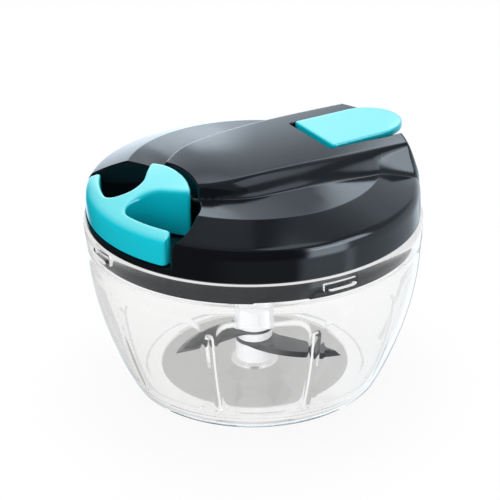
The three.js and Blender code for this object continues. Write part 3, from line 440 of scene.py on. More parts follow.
def clear_look(name, tint, painted_shade_tint, roughness):
    """Clear moulded plastic, with painted shade that greys it through its floor, a painted glow where rays
    stay caught in its walls, and painted highlights along its rim and the band's foot.
    """
    look, tree = new_look(name)
    tree.nodes.clear()
    spot = add_node(tree, "TexCoord").outputs["Object"]
    z = add_node(tree, "SeparateXYZ", {0: spot}).outputs["Z"]
    level = add_node(tree, "VectorMath", {0: spot, 1: (1, 1, 0)}, operation="MULTIPLY")
    off_axis = add_node(tree, "VectorMath", {0: level.outputs["Vector"]}, operation="LENGTH")
    in_well = ranged(tree, off_axis.outputs["Value"], well_radius, well_radius - 0.6 * mm)
    # Painted shade: the floor inside the well is made greyer, standing in for the shadow that lies under
    # the bowl.
    painted_shade_share = worked(tree, "MULTIPLY", ranged(tree, z, floor_top - 0.1 * mm, floor_top - 0.4 * mm), in_well)
    tint_and_shade = add_node(tree, "Mix", {"Factor": painted_shade_share, "A": tint, "B": painted_shade_tint}, data_type="RGBA")
    plastic = add_node(tree, "BsdfPrincipled", {
        "Base Color": tint_and_shade.outputs["Result"], "Transmission Weight": 1, "IOR": 1.27,
        "Roughness": ranged(tree, noise(tree, spot, 90, 4), 0.45, 0.8, roughness, roughness * 4),
    }).outputs[0]
    # Painted light: a glow where rays stay caught in the walls, and painted highlights along the rim's top
    # and along the band's foot.
    painted_glow = add_node(tree, "Emission", {"Color": (0.80, 0.80, 0.80, 1)}).outputs[0]
    clear = add_node(tree, "BsdfTransparent", {"Color": (0.96, 0.96, 0.96, 1)}).outputs[0]
    rim_highlight, band_highlight = [
        worked(tree, "MULTIPLY", worked(tree, "COMPARE", z, edge_z, reach), shine)
        for edge_z, reach, shine in ((bowl_height, 0.14 * mm, 0.7), (band_bottom + 0.1 * mm, 0.3 * mm, 0.6))
    ]
    rays = add_node(tree, "LightPath").outputs
    caught = worked(tree, "GREATER_THAN", rays["Ray Depth"], 4.5)
    pale = worked(tree, "MAXIMUM", caught, worked(tree, "MAXIMUM", rim_highlight, band_highlight))
    surface = mixed(tree, rays["Is Shadow Ray"], mixed(tree, pale, plastic, painted_glow), clear)
    add_node(tree, "OutputMaterial", {"Surface": surface})
    return look


def coat(piece, look):
    """Gives a piece one look all over."""
    piece.data.materials.clear()
    piece.data.materials.append(look)


def finished(piece, look, body, slot, *nodes):
    """Gives a piece its look, the body that carries it and the nodes it stands for. The slot is not used.
    """
    coat(piece, look)
    piece.data.name = piece.name
    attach(piece, body)
    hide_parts(*nodes)


clear_plastic = clear_look("clear_plastic", (0.968, 0.968, 0.965, 1), (0.56, 0.56, 0.55, 1), 0.01)
finished(bowl, clear_plastic, "bowl", "clear", "bowl")


# The lid's base: a dark moulded web screwed under the cover, with a skirt that shows through the bowl's
# clear band. Four bayonet grooves are cut in the skirt, and ribs stiffen the web from below.
def turned(name, profile, steps=160):
    """A profile of radius and height, drawn point by point and spun once round the blade axis."""
    bpy.ops.object.select_all(action="DESELECT")
    bpy.ops.mesh.primitive_plane_add(size=mm)
    piece = bpy.context.object
    piece.name = name
    bpy.ops.object.mode_set(mode="EDIT")
    bpy.ops.mesh.merge(type="CENTER")
    bpy.ops.transform.translate(value=(profile[0][0], 0, profile[0][1]))
    for (radius, z), (next_radius, next_z) in zip(profile, profile[1:]):
        step = {"value": (next_radius - radius, 0, next_z - z)}
        bpy.ops.mesh.extrude_region_move(TRANSFORM_OT_translate=step)
    bpy.ops.mesh.select_all(action="SELECT")
    bpy.ops.mesh.spin(steps=steps, angle=2 * math.pi, center=(0, 0, 0), axis=(0, 0, 1))
    bpy.ops.mesh.select_all(action="SELECT")
    bpy.ops.mesh.remove_doubles(threshold=2e-6)
    bpy.ops.mesh.normals_make_consistent(inside=False)
    bpy.ops.object.mode_set(mode="OBJECT")
    return piece


def place(piece):
    """Writes a piece's place, turn and size into its mesh."""
    select_only(piece)
    bpy.ops.object.transform_apply(location=True, rotation=True, scale=True)
    return piece


def drilled(piece, x, y, radius, low, high, steps=32):
    """Drills an upright hole through a piece."""
    bpy.ops.object.select_all(action="DESELECT")
    bpy.ops.mesh.primitive_cylinder_add(
        vertices=steps, radius=radius, depth=high - low, location=(x, y, (low + high) / 2))
    cut(piece, place(bpy.context.object))


skirt_outer = 62.4 * mm
skirt_inner = 60 * mm
skirt_bottom = 59.7 * mm
skirt_top = 68 * mm
web_bottom = 65.8 * mm
web_top = bowl_height
boss_bottom = 60 * mm
boss_inner = 10.9 * mm
boss_outer = 13.5 * mm
stiffener_bottom = 63.2 * mm
stiffener_width = 1.5 * mm
stiffener_height = 3.6 * mm
ring_inner = 35 * mm
ring_outer = 36.5 * mm
ring_top = 66.3 * mm
vent_y = 45 * mm
vent_radius = 2 * mm
screw_hole = 1.6 * mm
above_base = 69 * mm
screw_places = [on_circle(50 * mm, a) for a in (28, 152, 208, 332)]
lid_base = turned("lid_base_moulding", [
    (boss_inner, boss_bottom + 0.3 * mm), (boss_inner + 0.3 * mm, boss_bottom),
    (boss_outer - 0.4 * mm, boss_bottom), (boss_outer, boss_bottom + 0.4 * mm),
    (boss_outer, web_bottom - 0.8 * mm), (boss_outer + 0.8 * mm, web_bottom),
    (skirt_inner - 0.6 * mm, web_bottom), (skirt_inner, web_bottom - 0.6 * mm),
    (skirt_inner, skirt_bottom + 0.3 * mm), (skirt_inner + 0.3 * mm, skirt_bottom),
    (skirt_outer - 0.5 * mm, skirt_bottom), (skirt_outer - 0.15 * mm, skirt_bottom + 0.15 * mm),
    (skirt_outer, skirt_bottom + 0.5 * mm), (skirt_outer, skirt_top), (skirt_inner, skirt_top),
    (skirt_inner, web_top), (boss_inner, web_top), (boss_inner, boss_bottom + 0.3 * mm),
], 192)
stiffener_length = skirt_inner - boss_outer + 0.2 * mm
stiffener_middle = boss_outer + stiffener_length / 2 - 0.1 * mm
for i in range(8):
    bpy.ops.object.select_all(action="DESELECT")
    bpy.ops.mesh.primitive_cube_add(
        size=1, location=(stiffener_middle, 0, stiffener_bottom + stiffener_height / 2))
    stiffener = bpy.context.object
    stiffener.scale = (stiffener_length, stiffener_width, stiffener_height)
    place(stiffener)
    stiffener.rotation_euler[2] = math.radians(45 * i)
    cut(lid_base, place(stiffener), operation="UNION")
stiffening_ring = turned("stiffening_ring", [
    (ring_inner, stiffener_bottom), (ring_outer, stiffener_bottom), (ring_outer, ring_top),
    (ring_inner, ring_top), (ring_inner, stiffener_bottom),
], 96)
cut(lid_base, stiffening_ring, operation="UNION")
unlock_angle = 18.5
groove_back = 61.2 * mm
groove_half_angle = 6.9
groove_slope = 4
entry_half_angle = 6.5
groove_low = lug_low - 0.3 * mm
groove_high = lug_high + 0.3 * mm
below = skirt_bottom - mm
for i in range(4):
    entry = 90 * i - unlock_angle - groove_half_angle
    leave = 90 * i - unlock_angle + entry_half_angle
    run_start = leave + groove_slope
    run = 90 * i + groove_half_angle - run_start
    edges = [(entry - groove_slope, below, skirt_bottom + 0.1 * mm)]
    edges += [(entry - 0.6, below, groove_high - 0.5 * mm)]
    edges += [(entry + (leave - entry) * step / 6, below, groove_high) for step in range(7)]
    edges += [(leave + 3.4, groove_low - 0.4 * mm, groove_high)]
    edges += [(run_start + run * step / 6, groove_low, groove_high) for step in range(7)]
    cut(lid_base, rim_block("groove", groove_back, rim_radius - mm, edges))
for x, y in screw_places:
    drilled(lid_base, x, y, screw_hole, 64 * mm, above_base, 24)
drilled(lid_base, 0, vent_y, vent_radius, 62 * mm, above_base)
smooth(lid_base)


def shaded(tree, share, low, dark, high, light):
    """A colour that runs from dark to light as a share goes from low to high."""
    ramp = add_node(tree, "ValToRGB", {"Fac": share})
    for element, at, colour in zip(ramp.color_ramp.elements, (low, high), (dark, light)):
        element.position = at
        element.color = (*colour, 1)
    return ramp.outputs["Color"]


def bumped(tree, strength, depth, pattern):
    """The lean that a pattern gives to a surface."""
    relief = add_node(tree, "Bump", {"Strength": strength, "Distance": depth, "Height": pattern})
    return relief.outputs["Normal"]


def gloss_look(name, colour, deep_colour, roughness, waviness):
    """Moulded glossy plastic: uneven in shade and shine, with the faint waviness of a moulded face."""
    look, tree = new_look(name)
    spot = add_node(tree, "TexCoord").outputs["Object"]
    scuffs = noise(tree, spot, 240, 5, 0.65)
    feed(tree.nodes["Principled BSDF"], {
        "Base Color": shaded(tree, noise(tree, spot, 35, 3), 0.35, deep_colour, 0.65, colour),
        "Roughness": ranged(tree, scuffs, 0.3, 0.75, roughness, roughness * 1.6),
        "Normal": bumped(tree, waviness, 0.2 * mm, noise(tree, spot, 60, 1)),
        "IOR": 1.5,
    })
    return look


slate_satin = gloss_look("slate_satin", (0.0130, 0.0155, 0.0190), (0.0110, 0.0130, 0.0160), 0.28, 0.02)
feed(slate_satin.node_tree.nodes["Principled BSDF"], {"Specular IOR Level": 0.3})
finished(lid_base, slate_satin, "lid", "lid_slate", "lid_base")


# The lid's cover: one glossy moulded shell with an upright wall, a broad rounding, a sloping shoulder and
# a sharp crease round a shallow dish. A ridge climbs across the dish from the handle's recess to the vent
# cap, and bosses inside take the screws and the spring's arbor.
cover_radius = 64 * mm
cover_bottom = 68.1 * mm
cover_wall = 2.2 * mm
cover_chamfer = 0.3 * mm
wall_lean = 0.3 * mm
back_lean = 0.3
shoulder_edge = 61.55 * mm
shoulder_z = 80.95 * mm
shoulder_drop = 5.2 * mm
shoulder_sag = 0.08
bulge_rise = 7 * mm
bulge_drop = 4.5 * mm
bulge_inset = 1.9 * mm
bulge_tilt = 0.7 * mm
slope_step = 0.5 * mm
crease_radius = 48.4 * mm
crease_z = 85.85 * mm
ridge_crown = 0.6 * mm
far_rounding_share = 0.2
ridge_tops = [(-60, 78), (-44, 86), (-36, 88.2), (-29, 89.8), (-18, 91.6), (-6, 92.6), (10, 93.2),
              (27, 93.35), (54, 93.2), (66, 92.8)]
ridge_rails = [(-44, 5), (-36, 9), (-30, 13.4), (-27, 15.9), (-24, 17.8), (-20, 19.8), (-14, 21.6),
               (-5, 22.9), (8, 23.8), (18, 24.2), (30, 24.5), (44, 24.6), (66, 24.8)]
ridge_feet = [(-44, 7), (-36, 11), (-30, 15.8), (-27, 18.5), (-24, 20.9), (-20, 23.4), (-14, 25.6),
              (-5, 27), (8, 28.4), (18, 29.2), (27, 29.9), (34, 30.3), (66, 30.4)]
ridge_roundings = [(-40, 2), (-24, 3.2), (-8, 4.6), (8, 4.2), (24, 2.8), (40, 2.4), (66, 2.4)]
ridge_fillets = [(-40, 1), (-28, 1.2), (-15, 1.8), (2, 2.4), (16, 2.2), (28, 1.6), (38, 1), (66, 1)]
leaf_slopes = [(-40, -0.09), (-30, -0.045), (-24, -0.005), (-18, 0.012), (-10, 0.03), (-5, 0.046),
               (2, 0.064), (8, 0.079), (18, 0.087), (27, 0.07), (34, 0.04), (48, 0)]


def curve_at(rows, at):
    """Reads a table of places and values as a smooth curve through its rows."""
    if at <= rows[0][0]:
        return rows[0][1]
    if at >= rows[-1][0]:
        return rows[-1][1]
    i = next(k for k in range(1, len(rows)) if rows[k][0] >= at)
    before, low, high = rows[max(i - 2, 0)], rows[i - 1], rows[i]
    after = rows[min(i + 1, len(rows) - 1)]
    span = high[0] - low[0]
    slope_low = (high[1] - before[1]) / max(high[0] - before[0], 1e-6)
    slope_high = (after[1] - low[1]) / max(after[0] - low[0], 1e-6)
    t = (at - low[0]) / span
    return (
        (2 * t**3 - 3 * t**2 + 1) * low[1] + (t**3 - 2 * t**2 + t) * span * slope_low
        + (3 * t**2 - 2 * t**3) * high[1] + (t**3 - t**2) * span * slope_high
    )


def body_height(x, y):
    """The shoulder slopes almost evenly. Inside the crease the cover dips in front and swells behind."""
    radius = math.hypot(x, y)
    if radius >= crease_radius:
        t = (radius - crease_radius) / (shoulder_edge - crease_radius)
        return crease_z - (crease_z - shoulder_z) * ((1 - shoulder_sag) * t + shoulder_sag * t * t)
    return crease_z + curve_at(leaf_slopes, y / mm) * (crease_radius - radius)


def blended(first, second, width, side):
    """The higher of two heights for a side of 1, the lower for -1, with a fillet of that width between."""
    meet = max(width - abs(first - second), 0) / width
    return side * max(side * first, side * second) + side * meet * meet * width / 4


def cover_height(x, y):
    """The body and the ridge, which is lightly crowned on top and planed down its sides to its foot."""
    along = y / mm
    foot = curve_at(ridge_feet, along) * mm
    rail = curve_at(ridge_rails, along) * mm
    top = curve_at(ridge_tops, along) * mm
    low = body_height(foot, y)
    side = low + (foot - abs(x)) * (top - ridge_crown - low) / (foot - rail)
    rounding = curve_at(ridge_roundings, along) * mm * (1 if x > 0 else far_rounding_share)
    ridge = blended(top - ridge_crown * (x / rail) ** 2, side, rounding, -1)
    return blended(body_height(x, y), ridge, curve_at(ridge_fillets, along) * mm, 1)


def wall_radius(z):
    """The wall leans in a little, and more where it climbs past the shoulder."""
    lean = wall_lean * smooth_step((z - cover_bottom) / (10 * mm))
    return cover_radius - lean - back_lean * max(z - shoulder_z, 0)


def shoulder_curve(angle):
    """The shoulder's rounding at one angle: the edge where it meets the top, its start on the wall, and the
    corner that the two faces would make. Where the ridge bulges past the shoulder, it sets in and drops."""
    bulge = smooth_step((cover_height(*on_circle(shoulder_edge, angle)) - shoulder_z) / bulge_rise)
    rightward_share = min(max(math.cos(math.radians(angle)) / 0.4, -1), 1)
    edge = shoulder_edge - (bulge_inset + bulge_tilt * rightward_share) * bulge
    top = cover_height(*on_circle(edge, angle))
    slope = (cover_height(*on_circle(edge - slope_step, angle)) - top) / slope_step
    start = top - shoulder_drop - bulge_drop * bulge
    corner = wall_radius(top)
    return (edge, top), (wall_radius(start), start), (corner, top - slope * (corner - edge))


def cover_rings(inset, columns, wall_rows, top_step):
    """The cover's skin as rings: up the wall, round the shoulder, then inwards over the top."""
    angles = [360 * i / columns for i in range(columns)]
    curves = [shoulder_curve(a) for a in angles]
    rings = []
    for i in range(-1, wall_rows):
        ring = []
        for a, (edge, start, corner) in zip(angles, curves):
            z = cover_bottom + (start[1] - cover_bottom) * max(i, 0) / (wall_rows - 1)
            radius = wall_radius(z) - inset - (cover_chamfer if i < 0 else 0)
            if i == 0:
                z += cover_chamfer
            ring.append(Vector((*on_circle(radius, a), z - (inset if i > 0 else 0))))
        rings.append(ring)
    turns = 8
    for t in [i / turns for i in range(1, turns + 1)]:
        ring = []
        for a, curve in zip(angles, curves):
            radius, z = [
                (1 - t) ** 2 * start + 2 * t * (1 - t) * corner + t * t * edge - inset
                for edge, start, corner in zip(*curve)
            ]
            ring.append(Vector((*on_circle(radius, a), z)))
        rings.append(ring)
    shoulder_rows = max(int((shoulder_edge - crease_radius) / top_step), 4)
    radii = [[
        crease_radius + (edge[0] - crease_radius) * (1 - i / shoulder_rows) for edge, _, _ in curves
    ] for i in range(1, shoulder_rows)]
    dish = [crease_radius + 0.22 * mm, crease_radius - 0.05 * mm, crease_radius - 0.35 * mm]
    while dish[-1] > top_step + 0.4 * mm:
        dish.append(dish[-1] - top_step)
    for row in radii + [[radius] * columns for radius in dish]:
        ring = []
        for a, radius, (edge, _, _) in zip(angles, row, curves):
            radius -= inset * smooth_step((radius - crease_radius) / (edge[0] - crease_radius))
            x, y = on_circle(radius, a)
            ring.append(Vector((x, y, cover_height(x, y) - inset)))
        rings.append(ring)
    return rings


recess_half = 36.2 * mm
recess_depth = 26.1 * mm
recess_centre = -54.5 * mm
recess_back = -28.4 * mm
ledge_z = 70.5 * mm
pocket_floor = 87 * mm
pocket_room = 1 * mm
pocket_corner = 1.5 * mm
pocket_taper_end = 52 * mm
cap_front = 27 * mm
cap_front_half = 14.4 * mm
cap_tip_radius = 14 * mm
roof = 100 * mm
outside_lid = 80 * mm


def recess_outline(extra):
    """Plan of the handle's recess: half an ellipse that runs straight out through the wall."""
    half, depth = recess_half + extra, recess_depth + extra
    points = [
        (half * math.cos(math.radians(a)), recess_centre + depth * math.sin(math.radians(a)))
        for a in [2.5 * i for i in range(73)]
    ]
    side = [-57 * mm, -60 * mm, -outside_lid]
    return points + [(-half, y) for y in side] + [(half, y) for y in reversed(side)]


def pocket_outline(extra):
    """Plan of the cap's pocket, open to the back."""
    side = pocket_room + extra
    half = cap_front_half + side
    front = cap_front - 2 * mm - extra
    turn_x, turn_y = half - pocket_corner, front + pocket_corner
    corner = [on_circle(pocket_corner, a) for a in (-90, -67.5, -45, -22.5, 0)]
    points = [(turn_x + x, turn_y + y) for x, y in corner]
    taper, run = cap_tip_radius + side, pocket_taper_end - turn_y
    points += [(half + (taper - half) * t, turn_y + run * t) for t in (0.2, 0.4, 0.6, 0.8, 1)]
    points += [(taper, y * mm) for y in (54, 56, 58, 59, 60, 61, 62, 63, 64)] + [(taper, outside_lid)]
    return points + [(-x, y) for x, y in reversed(points)]


def flared(name, outline, floor_z, rounding):
    """A cutting tool with upright sides that opens out where it leaves the cover, to round the edge."""
    rings = [[Vector((x, y, floor_z)) for x, y in outline(0)]]
    for share, drop in ((0, 1), (0.05, 0.7), (0.16, 0.45), (0.35, 0.22), (0.62, 0.07)):
        rings.append([Vector((x, y, max(cover_height(x, y) - drop * rounding, floor_z + 0.5 * mm)))
                      for x, y in outline(rounding * share)])
    mouth = outline(rounding)
    rings.append([Vector((x, y, max(cover_height(x, y), floor_z) + 0.6 * rounding)) for x, y in mouth])
    rings.append([Vector((x, y, roof)) for x, y in mouth])
    return wrapped(name, rings)


def plan_block(name, outline, low, high):
    """A plan outline raised into a block."""
    return wrapped(name, [[Vector((x, y, z)) for x, y in outline] for z in (low, high)])


def round_bar(name, radius, start, end, steps=32):
    """A round bar between two points, as a piece or as a cutting tool."""
    run = Vector(end) - Vector(start)
    bpy.ops.object.select_all(action="DESELECT")
    bpy.ops.mesh.primitive_cylinder_add(
        vertices=steps, radius=radius, depth=run.length, location=(Vector(start) + Vector(end)) / 2,
        rotation=run.to_track_quat("Z", "Y").to_euler())
    bpy.context.object.name = name
    return place(bpy.context.object)


def upright(name, radius, low, high, x=0, y=0):
    return round_bar(name, radius, (x, y, low), (x, y, high))


def cross_bar(name, radius, half_length, steps):
    """A round bar along the cap's hinge axis."""
    return round_bar(name, radius, (-half_length, hinge_y, hinge_z), (half_length, hinge_y, hinge_z), steps)


cord_z = 77.95 * mm
eyelet_hole = 3.3 * mm
hinge_y = 29 * mm
hinge_z = 91.2 * mm
pin_hole = 1.2 * mm
vent_tube = 3.8 * mm
screw_boss = 3.5 * mm
screw_tip_z = 76.1 * mm
arbor_boss = 8 * mm
arbor_boss_foot = 82.2 * mm
drill_foot = 67 * mm
below_cover = cover_bottom - 2 * mm
cover = wrapped("lid_cover_shell", cover_rings(0, 480, 8, 0.72 * mm))
hollow_rings = cover_rings(cover_wall, 96, 5, 2.4 * mm)[1:]
hollow_rings[0] = [Vector((point.x, point.y, cover_bottom - mm)) for point in hollow_rings[0]]
hollow = wrapped("cover_hollow", hollow_rings)
cut(hollow, plan_block("recess_walls", recess_outline(cover_wall), below_cover, roof))
cut(hollow, plan_block("pocket_walls", pocket_outline(cover_wall), pocket_floor - cover_wall, roof))
cut(hollow, upright("vent_tube", vent_tube, below_cover, roof, 0, vent_y))
cut(hollow, upright("arbor_boss", arbor_boss, arbor_boss_foot, roof))
for x, y in screw_places:
    cut(hollow, upright("screw_boss", screw_boss, below_cover, roof, x, y))
cut(cover, hollow)
cut(cover, flared("recess_tool", recess_outline, ledge_z, 0.8 * mm))
cut(cover, flared("pocket_tool", pocket_outline, pocket_floor, 0.5 * mm))
cut(cover, upright("vent_hole", vent_radius, drill_foot, pocket_floor + mm, 0, vent_y),
    upright("arbor_screw_hole", screw_hole, drill_foot, pocket_floor + 0.1 * mm),
    *[upright("cover_screw_hole", screw_hole, drill_foot, screw_tip_z, x, y) for x, y in screw_places],
    round_bar("eyelet_hole", eyelet_hole,
              (0, recess_back - 2.2 * mm, cord_z), (0, recess_back + 4.4 * mm, cord_z)),
    cross_bar("pin_hole", pin_hole, 16.95 * mm, 24))
smooth(cover, 30)
slate_gloss = gloss_look("slate_gloss", (0.0048, 0.0056, 0.0075), (0.0040, 0.0047, 0.0063), 0.09, 0.05)
finished(cover, slate_gloss, "lid", "lid_slate", "lid_cover")


# The pull handle: a glossy aqua moulding with a fan-shaped head, a waisted neck and a curved bar. Its top
# follows the lid's slope and its edges are rounded. The cord's knot sits in a pocket bored from below.
def corner_cut(points, rounds=2):
    """Rounds an outline by cutting its corners again and again."""
    for _ in range(rounds):
        points = [
            (x * (1 - t) + next_x * t, y * (1 - t) + next_y * t)
            for (x, y), (next_x, next_y) in zip(points, points[1:] + points[:1]) for t in (0.25, 0.75)
        ]
    return points


def away_from(outline, x, y):
    """Distance in plan from a point to a line through the outline's points."""
    nearest = 1.0
    for (ax, ay), (bx, by) in zip(outline, outline[1:]):
        run_x, run_y = bx - ax, by - ay
        t = ((x - ax) * run_x + (y - ay) * run_y) / max(run_x * run_x + run_y * run_y, 1e-12)
        t = min(max(t, 0), 1)
        nearest = min(nearest, math.hypot(x - ax - t * run_x, y - ay - t * run_y))
    return nearest


def edge_drop(distance, rounding):
    """How far a rounded edge falls at a distance inside the outline."""
    inward = max(rounding - distance, 0)
    return rounding - math.sqrt(max(rounding * rounding - inward * inward, 0))


def inset_rings(outline, steps):
    """The outline moved inwards by each step, and by less where it is narrow or turns sharply."""
    points = [Vector(point) for point in outline]
    count = len(points)
    facing, room = [], []
    for i, point in enumerate(points):
        before, after = point - points[i - 1], points[(i + 1) % count] - point
        along = (before + after).normalized()
        inward = Vector((-along.y, along.x))
        bend = math.atan2(before.x * after.y - before.y * after.x, before.dot(after))
        space = 0.8 * (before.length + after.length) / 2 / bend if bend > 1e-4 else 1
        for k in range(count):
            start, end = points[k - 1] - point, points[k] - point
            side_start, side_end = along.dot(start), along.dot(end)
            if side_start * side_end < 0:
                across = inward.dot(start + (end - start) * side_start / (side_start - side_end))
                if across > 0.02 * mm:
                    space = min(space, 0.42 * across)
        facing.append(inward)
        room.append(space)
    for _ in range(2):
        room = [min(room[i - 1], room[i], room[(i + 1) % count]) for i in range(count)]
    for _ in range(2):
        room = [(room[i - 1] + room[i] + room[(i + 1) % count]) / 3 for i in range(count)]
    return [[point + inward * min(step, space) for point, inward, space in zip(points, facing, room)]
            for step in steps]


def raised(name, outline, low, high, steps, spacing):
    """An outline raised into a piece: both faces have rings inside the outline, and the upper one a grid.
    Then low and high give each point's height from its place and its distance to the outline."""
    rings = inset_rings(outline, [0] + steps)
    piece = wrapped(name, [[Vector((x, y, 0)) for x, y in ring] for ring in reversed(rings)]
                    + [[Vector((x, y, 1)) for x, y in ring] for ring in rings])
    for face in piece.data.polygons:
        face.select = len(face.vertices) > 4 and face.center.z > 0.5
    bpy.ops.object.mode_set(mode="EDIT")
    bpy.ops.mesh.select_mode(type="FACE")
    bpy.ops.mesh.hide(unselected=True)
    for axis in (0, 1):
        first = min(point[axis] for point in outline)
        last = max(point[axis] for point in outline)
        facing = Vector((1 - axis, axis, 0))
        for i in range(1, int((last - first) / spacing) + 1):
            bpy.ops.mesh.select_all(action="SELECT")
            bpy.ops.mesh.bisect(plane_co=(first + i * spacing) * facing, plane_no=facing)
    bpy.ops.mesh.reveal(select=False)
    bpy.ops.mesh.select_mode(type="VERT")
    bpy.ops.object.mode_set(mode="OBJECT")
    closed = outline + outline[:1]
    for vertex in piece.data.vertices:
        x, y, z = vertex.co
        vertex.co.z = (high if z > 0.5 else low)(x, y, away_from(closed, x, y))
    bpy.ops.object.mode_set(mode="EDIT")
    bpy.ops.mesh.select_all(action="SELECT")
    bpy.ops.mesh.normals_make_consistent(inside=False)
    bpy.ops.object.mode_set(mode="OBJECT")
    return piece


bar_outer = 63.6 * mm
bar_inner = 57.8 * mm
bar_end = 31.7
head_end = -31 * mm
knot_y = -39 * mm
knot_pocket = 2.6 * mm
knot_pocket_top = 80.55 * mm
cord_bore = 1.15 * mm
handle_bottom = 71 * mm
foot_rounding = 0.7 * mm
wall_edge = 1.6 * mm
wall_edge_run = 2.4 * mm
handle_rounding = 1.4 * mm
neck_rounding = 0.9 * mm
neck_radius = 49 * mm
neck_half_length = 7 * mm
handle_slope = [(31, 90.6), (35, 89.85), (40.4, 88.6), (49.8, 86), (57.8, 83.1), (60.5, 82), (62.2, 80.8),
                (63.2, 79.2), (63.6, 77.4)]
handle_side = in_mm([
    (0, -31), (3, -31), (6, -31.3), (9.7, -32), (16.6, -34.4), (12.4, -38), (9.8, -40), (7.4, -41.6),
    (5.4, -43.4), (4.2, -45.8), (3.7, -48.3), (3.7, -50.8), (4.2, -53.2), (5.6, -55.6), (8.8, -57.1),
])
handle_side += [on_circle(bar_inner, bar_end * share - 90) for share in (0.42, 0.52, 0.62, 0.72, 0.85, 1)]
handle_side += [on_circle(bar_outer, bar_end * share - 90)
                for share in (1, 0.86, 0.76, 0.66, 0.56, 0.46, 0.36, 0.26, 0.16, 0.07)]
far_side = [(-x, y) for x, y in handle_side[1:]]
handle_outline = corner_cut(far_side + [(0, -bar_outer)] + handle_side[:0:-1] + handle_side[:1], 3)


def handle_top(x, y, distance):
    """The top falls towards the wall, and its edge is rounder along the neck and sharp along the wall."""
    radius = math.hypot(x, y)
    inner_edge = smooth_step((bar_outer - wall_edge - radius) / wall_edge_run)
    at_neck = smooth_step(1 - abs(radius - neck_radius) / neck_half_length)
    rounding = handle_rounding + neck_rounding * at_neck
    return curve_at(handle_slope, radius / mm) * mm - edge_drop(distance, rounding) * inner_edge


def handle_foot(x, y, distance):
    return handle_bottom + edge_drop(distance, foot_rounding)


handle = raised("pull_handle_moulding", handle_outline, handle_foot, handle_top,
                [step * mm for step in (0.03, 0.12, 0.28, 0.5, 0.8, 1.2, 1.7, 2.4)], 1.6 * mm)
cut(handle, upright("knot_pocket", knot_pocket, handle_bottom - mm, knot_pocket_top, 0, knot_y),
    round_bar("cord_bore", cord_bore, (0, knot_y + 1.5 * mm, cord_z), (0, head_end + 2 * mm, cord_z), 20))
smooth(handle, 34)
aqua_gloss = gloss_look("aqua_gloss", (0.004, 0.540, 0.650), (0.003, 0.520, 0.625), 0.11, 0.06)
aqua_tree = aqua_gloss.node_tree
aqua_plastic = aqua_tree.nodes["Principled BSDF"]
# Painted light: faces that point up get a lighter aqua, standing in for the light that falls on them from
# above.
facing = add_node(aqua_tree, "TexCoord").outputs["Normal"]
upward = add_node(aqua_tree, "SeparateXYZ", {0: facing}).outputs["Z"]
painted_top_light = add_node(aqua_tree, "Mix", {
    "Factor": ranged(aqua_tree, upward, 0.5, 1),
    "A": aqua_plastic.inputs["Base Color"].links[0].from_socket,
    "B": (0.19, 0.67, 0.71, 1),
}, data_type="RGBA")
feed(aqua_plastic, {"Base Color": painted_top_light.outputs["Result"]})
finished(handle, aqua_gloss, "pull_handle", "aqua", "handle")


# The plug that closes the knot's pocket: a small aqua disc pressed into the handle's underside.
# Its rim is chamfered so that it starts easily, and a shallow dimple marks its middle.
knot_plug = turned("knot_pocket_plug", in_mm([
    (0, 71.2), (0.8, 71.25), (1.1, 71.1), (2, 71.1), (2.3, 71.4), (2.3, 72.4), (2, 72.7), (0, 72.7),
]), 48)
knot_plug.location.y = knot_y
place(knot_plug)
smooth(knot_plug, 40)
finished(knot_plug, aqua_gloss, "pull_handle", "aqua", "knot_plug")


# The vent cap: a glossy aqua tongue with a round tip. It flips up about a steel pin through the knuckle
# below it. Its top rises a little to the tip, and its edges are softly rounded.
cap_rise = math.tan(math.radians(1.4))
cap_top_z = 93.97 * mm
cap_thickness = 2.75 * mm
cap_middle = 51 * mm
cap_rounding = 0.9 * mm
cap_under_rounding = 0.45 * mm
knuckle_radius = 2.2 * mm
knuckle_half = 12 * mm
cap_right = [(cap_front_half * share, cap_front) for share in (0.2, 0.5, 0.8, 1)]
cap_right += [(cap_front_half + (cap_tip_radius - cap_front_half) * share,
               cap_front + (cap_middle - cap_front) * share) for share in (0.11, 0.3, 0.5, 0.7, 0.85, 1)]
cap_tip = [on_circle(cap_tip_radius, a) for a in range(8, 90, 8)]
cap_right += [(x, cap_middle + y) for x, y in cap_tip]
cap_left = [(-x, y) for x, y in reversed(cap_right)]
cap_outline = corner_cut(cap_right + [(0, cap_middle + cap_tip_radius)] + cap_left)


def cap_top(x, y, distance):
    return cap_top_z + (y - cap_front) * cap_rise - edge_drop(distance, cap_rounding)


def cap_underside(x, y, distance):
    rise = (y - cap_front) * cap_rise
    return cap_top_z - cap_thickness + rise + edge_drop(distance, cap_under_rounding)


vent_cap = raised("vent_cap_moulding", cap_outline, cap_underside, cap_top,
                  [step * mm for step in (0.03, 0.1, 0.22, 0.4, 0.62, 0.9)], 3 * mm)
cut(vent_cap, cross_bar("knuckle", knuckle_radius, knuckle_half, 48), operation="UNION")
cut(vent_cap, cross_bar("knuckle_bore", pin_hole, 20 * mm, 24))
smooth(vent_cap, 34)
finished(vent_cap, aqua_gloss, "cap", "aqua", "vent_cap")


# The cap's seal: a soft grey plug under the tongue that stops the vent when the cap is shut. It is moulded
# with a stem that snaps into the cap, a rounded lip and a shallow hollow below.
vent_seal = turned("vent_seal_plug", in_mm([
    (0, 87.7), (1.6, 87.6), (2.6, 87.4), (3.5, 87.3), (4.1, 87.4), (4.35, 87.75), (4.3, 88.2), (3.95, 88.6),
    (3.6, 89.4), (3.3, 90.6), (3.1, 91.2), (2.8, 91.35), (0, 91.35),
]), 64)
vent_seal.location.y = vent_y
place(vent_seal)
smooth(vent_seal, 40)


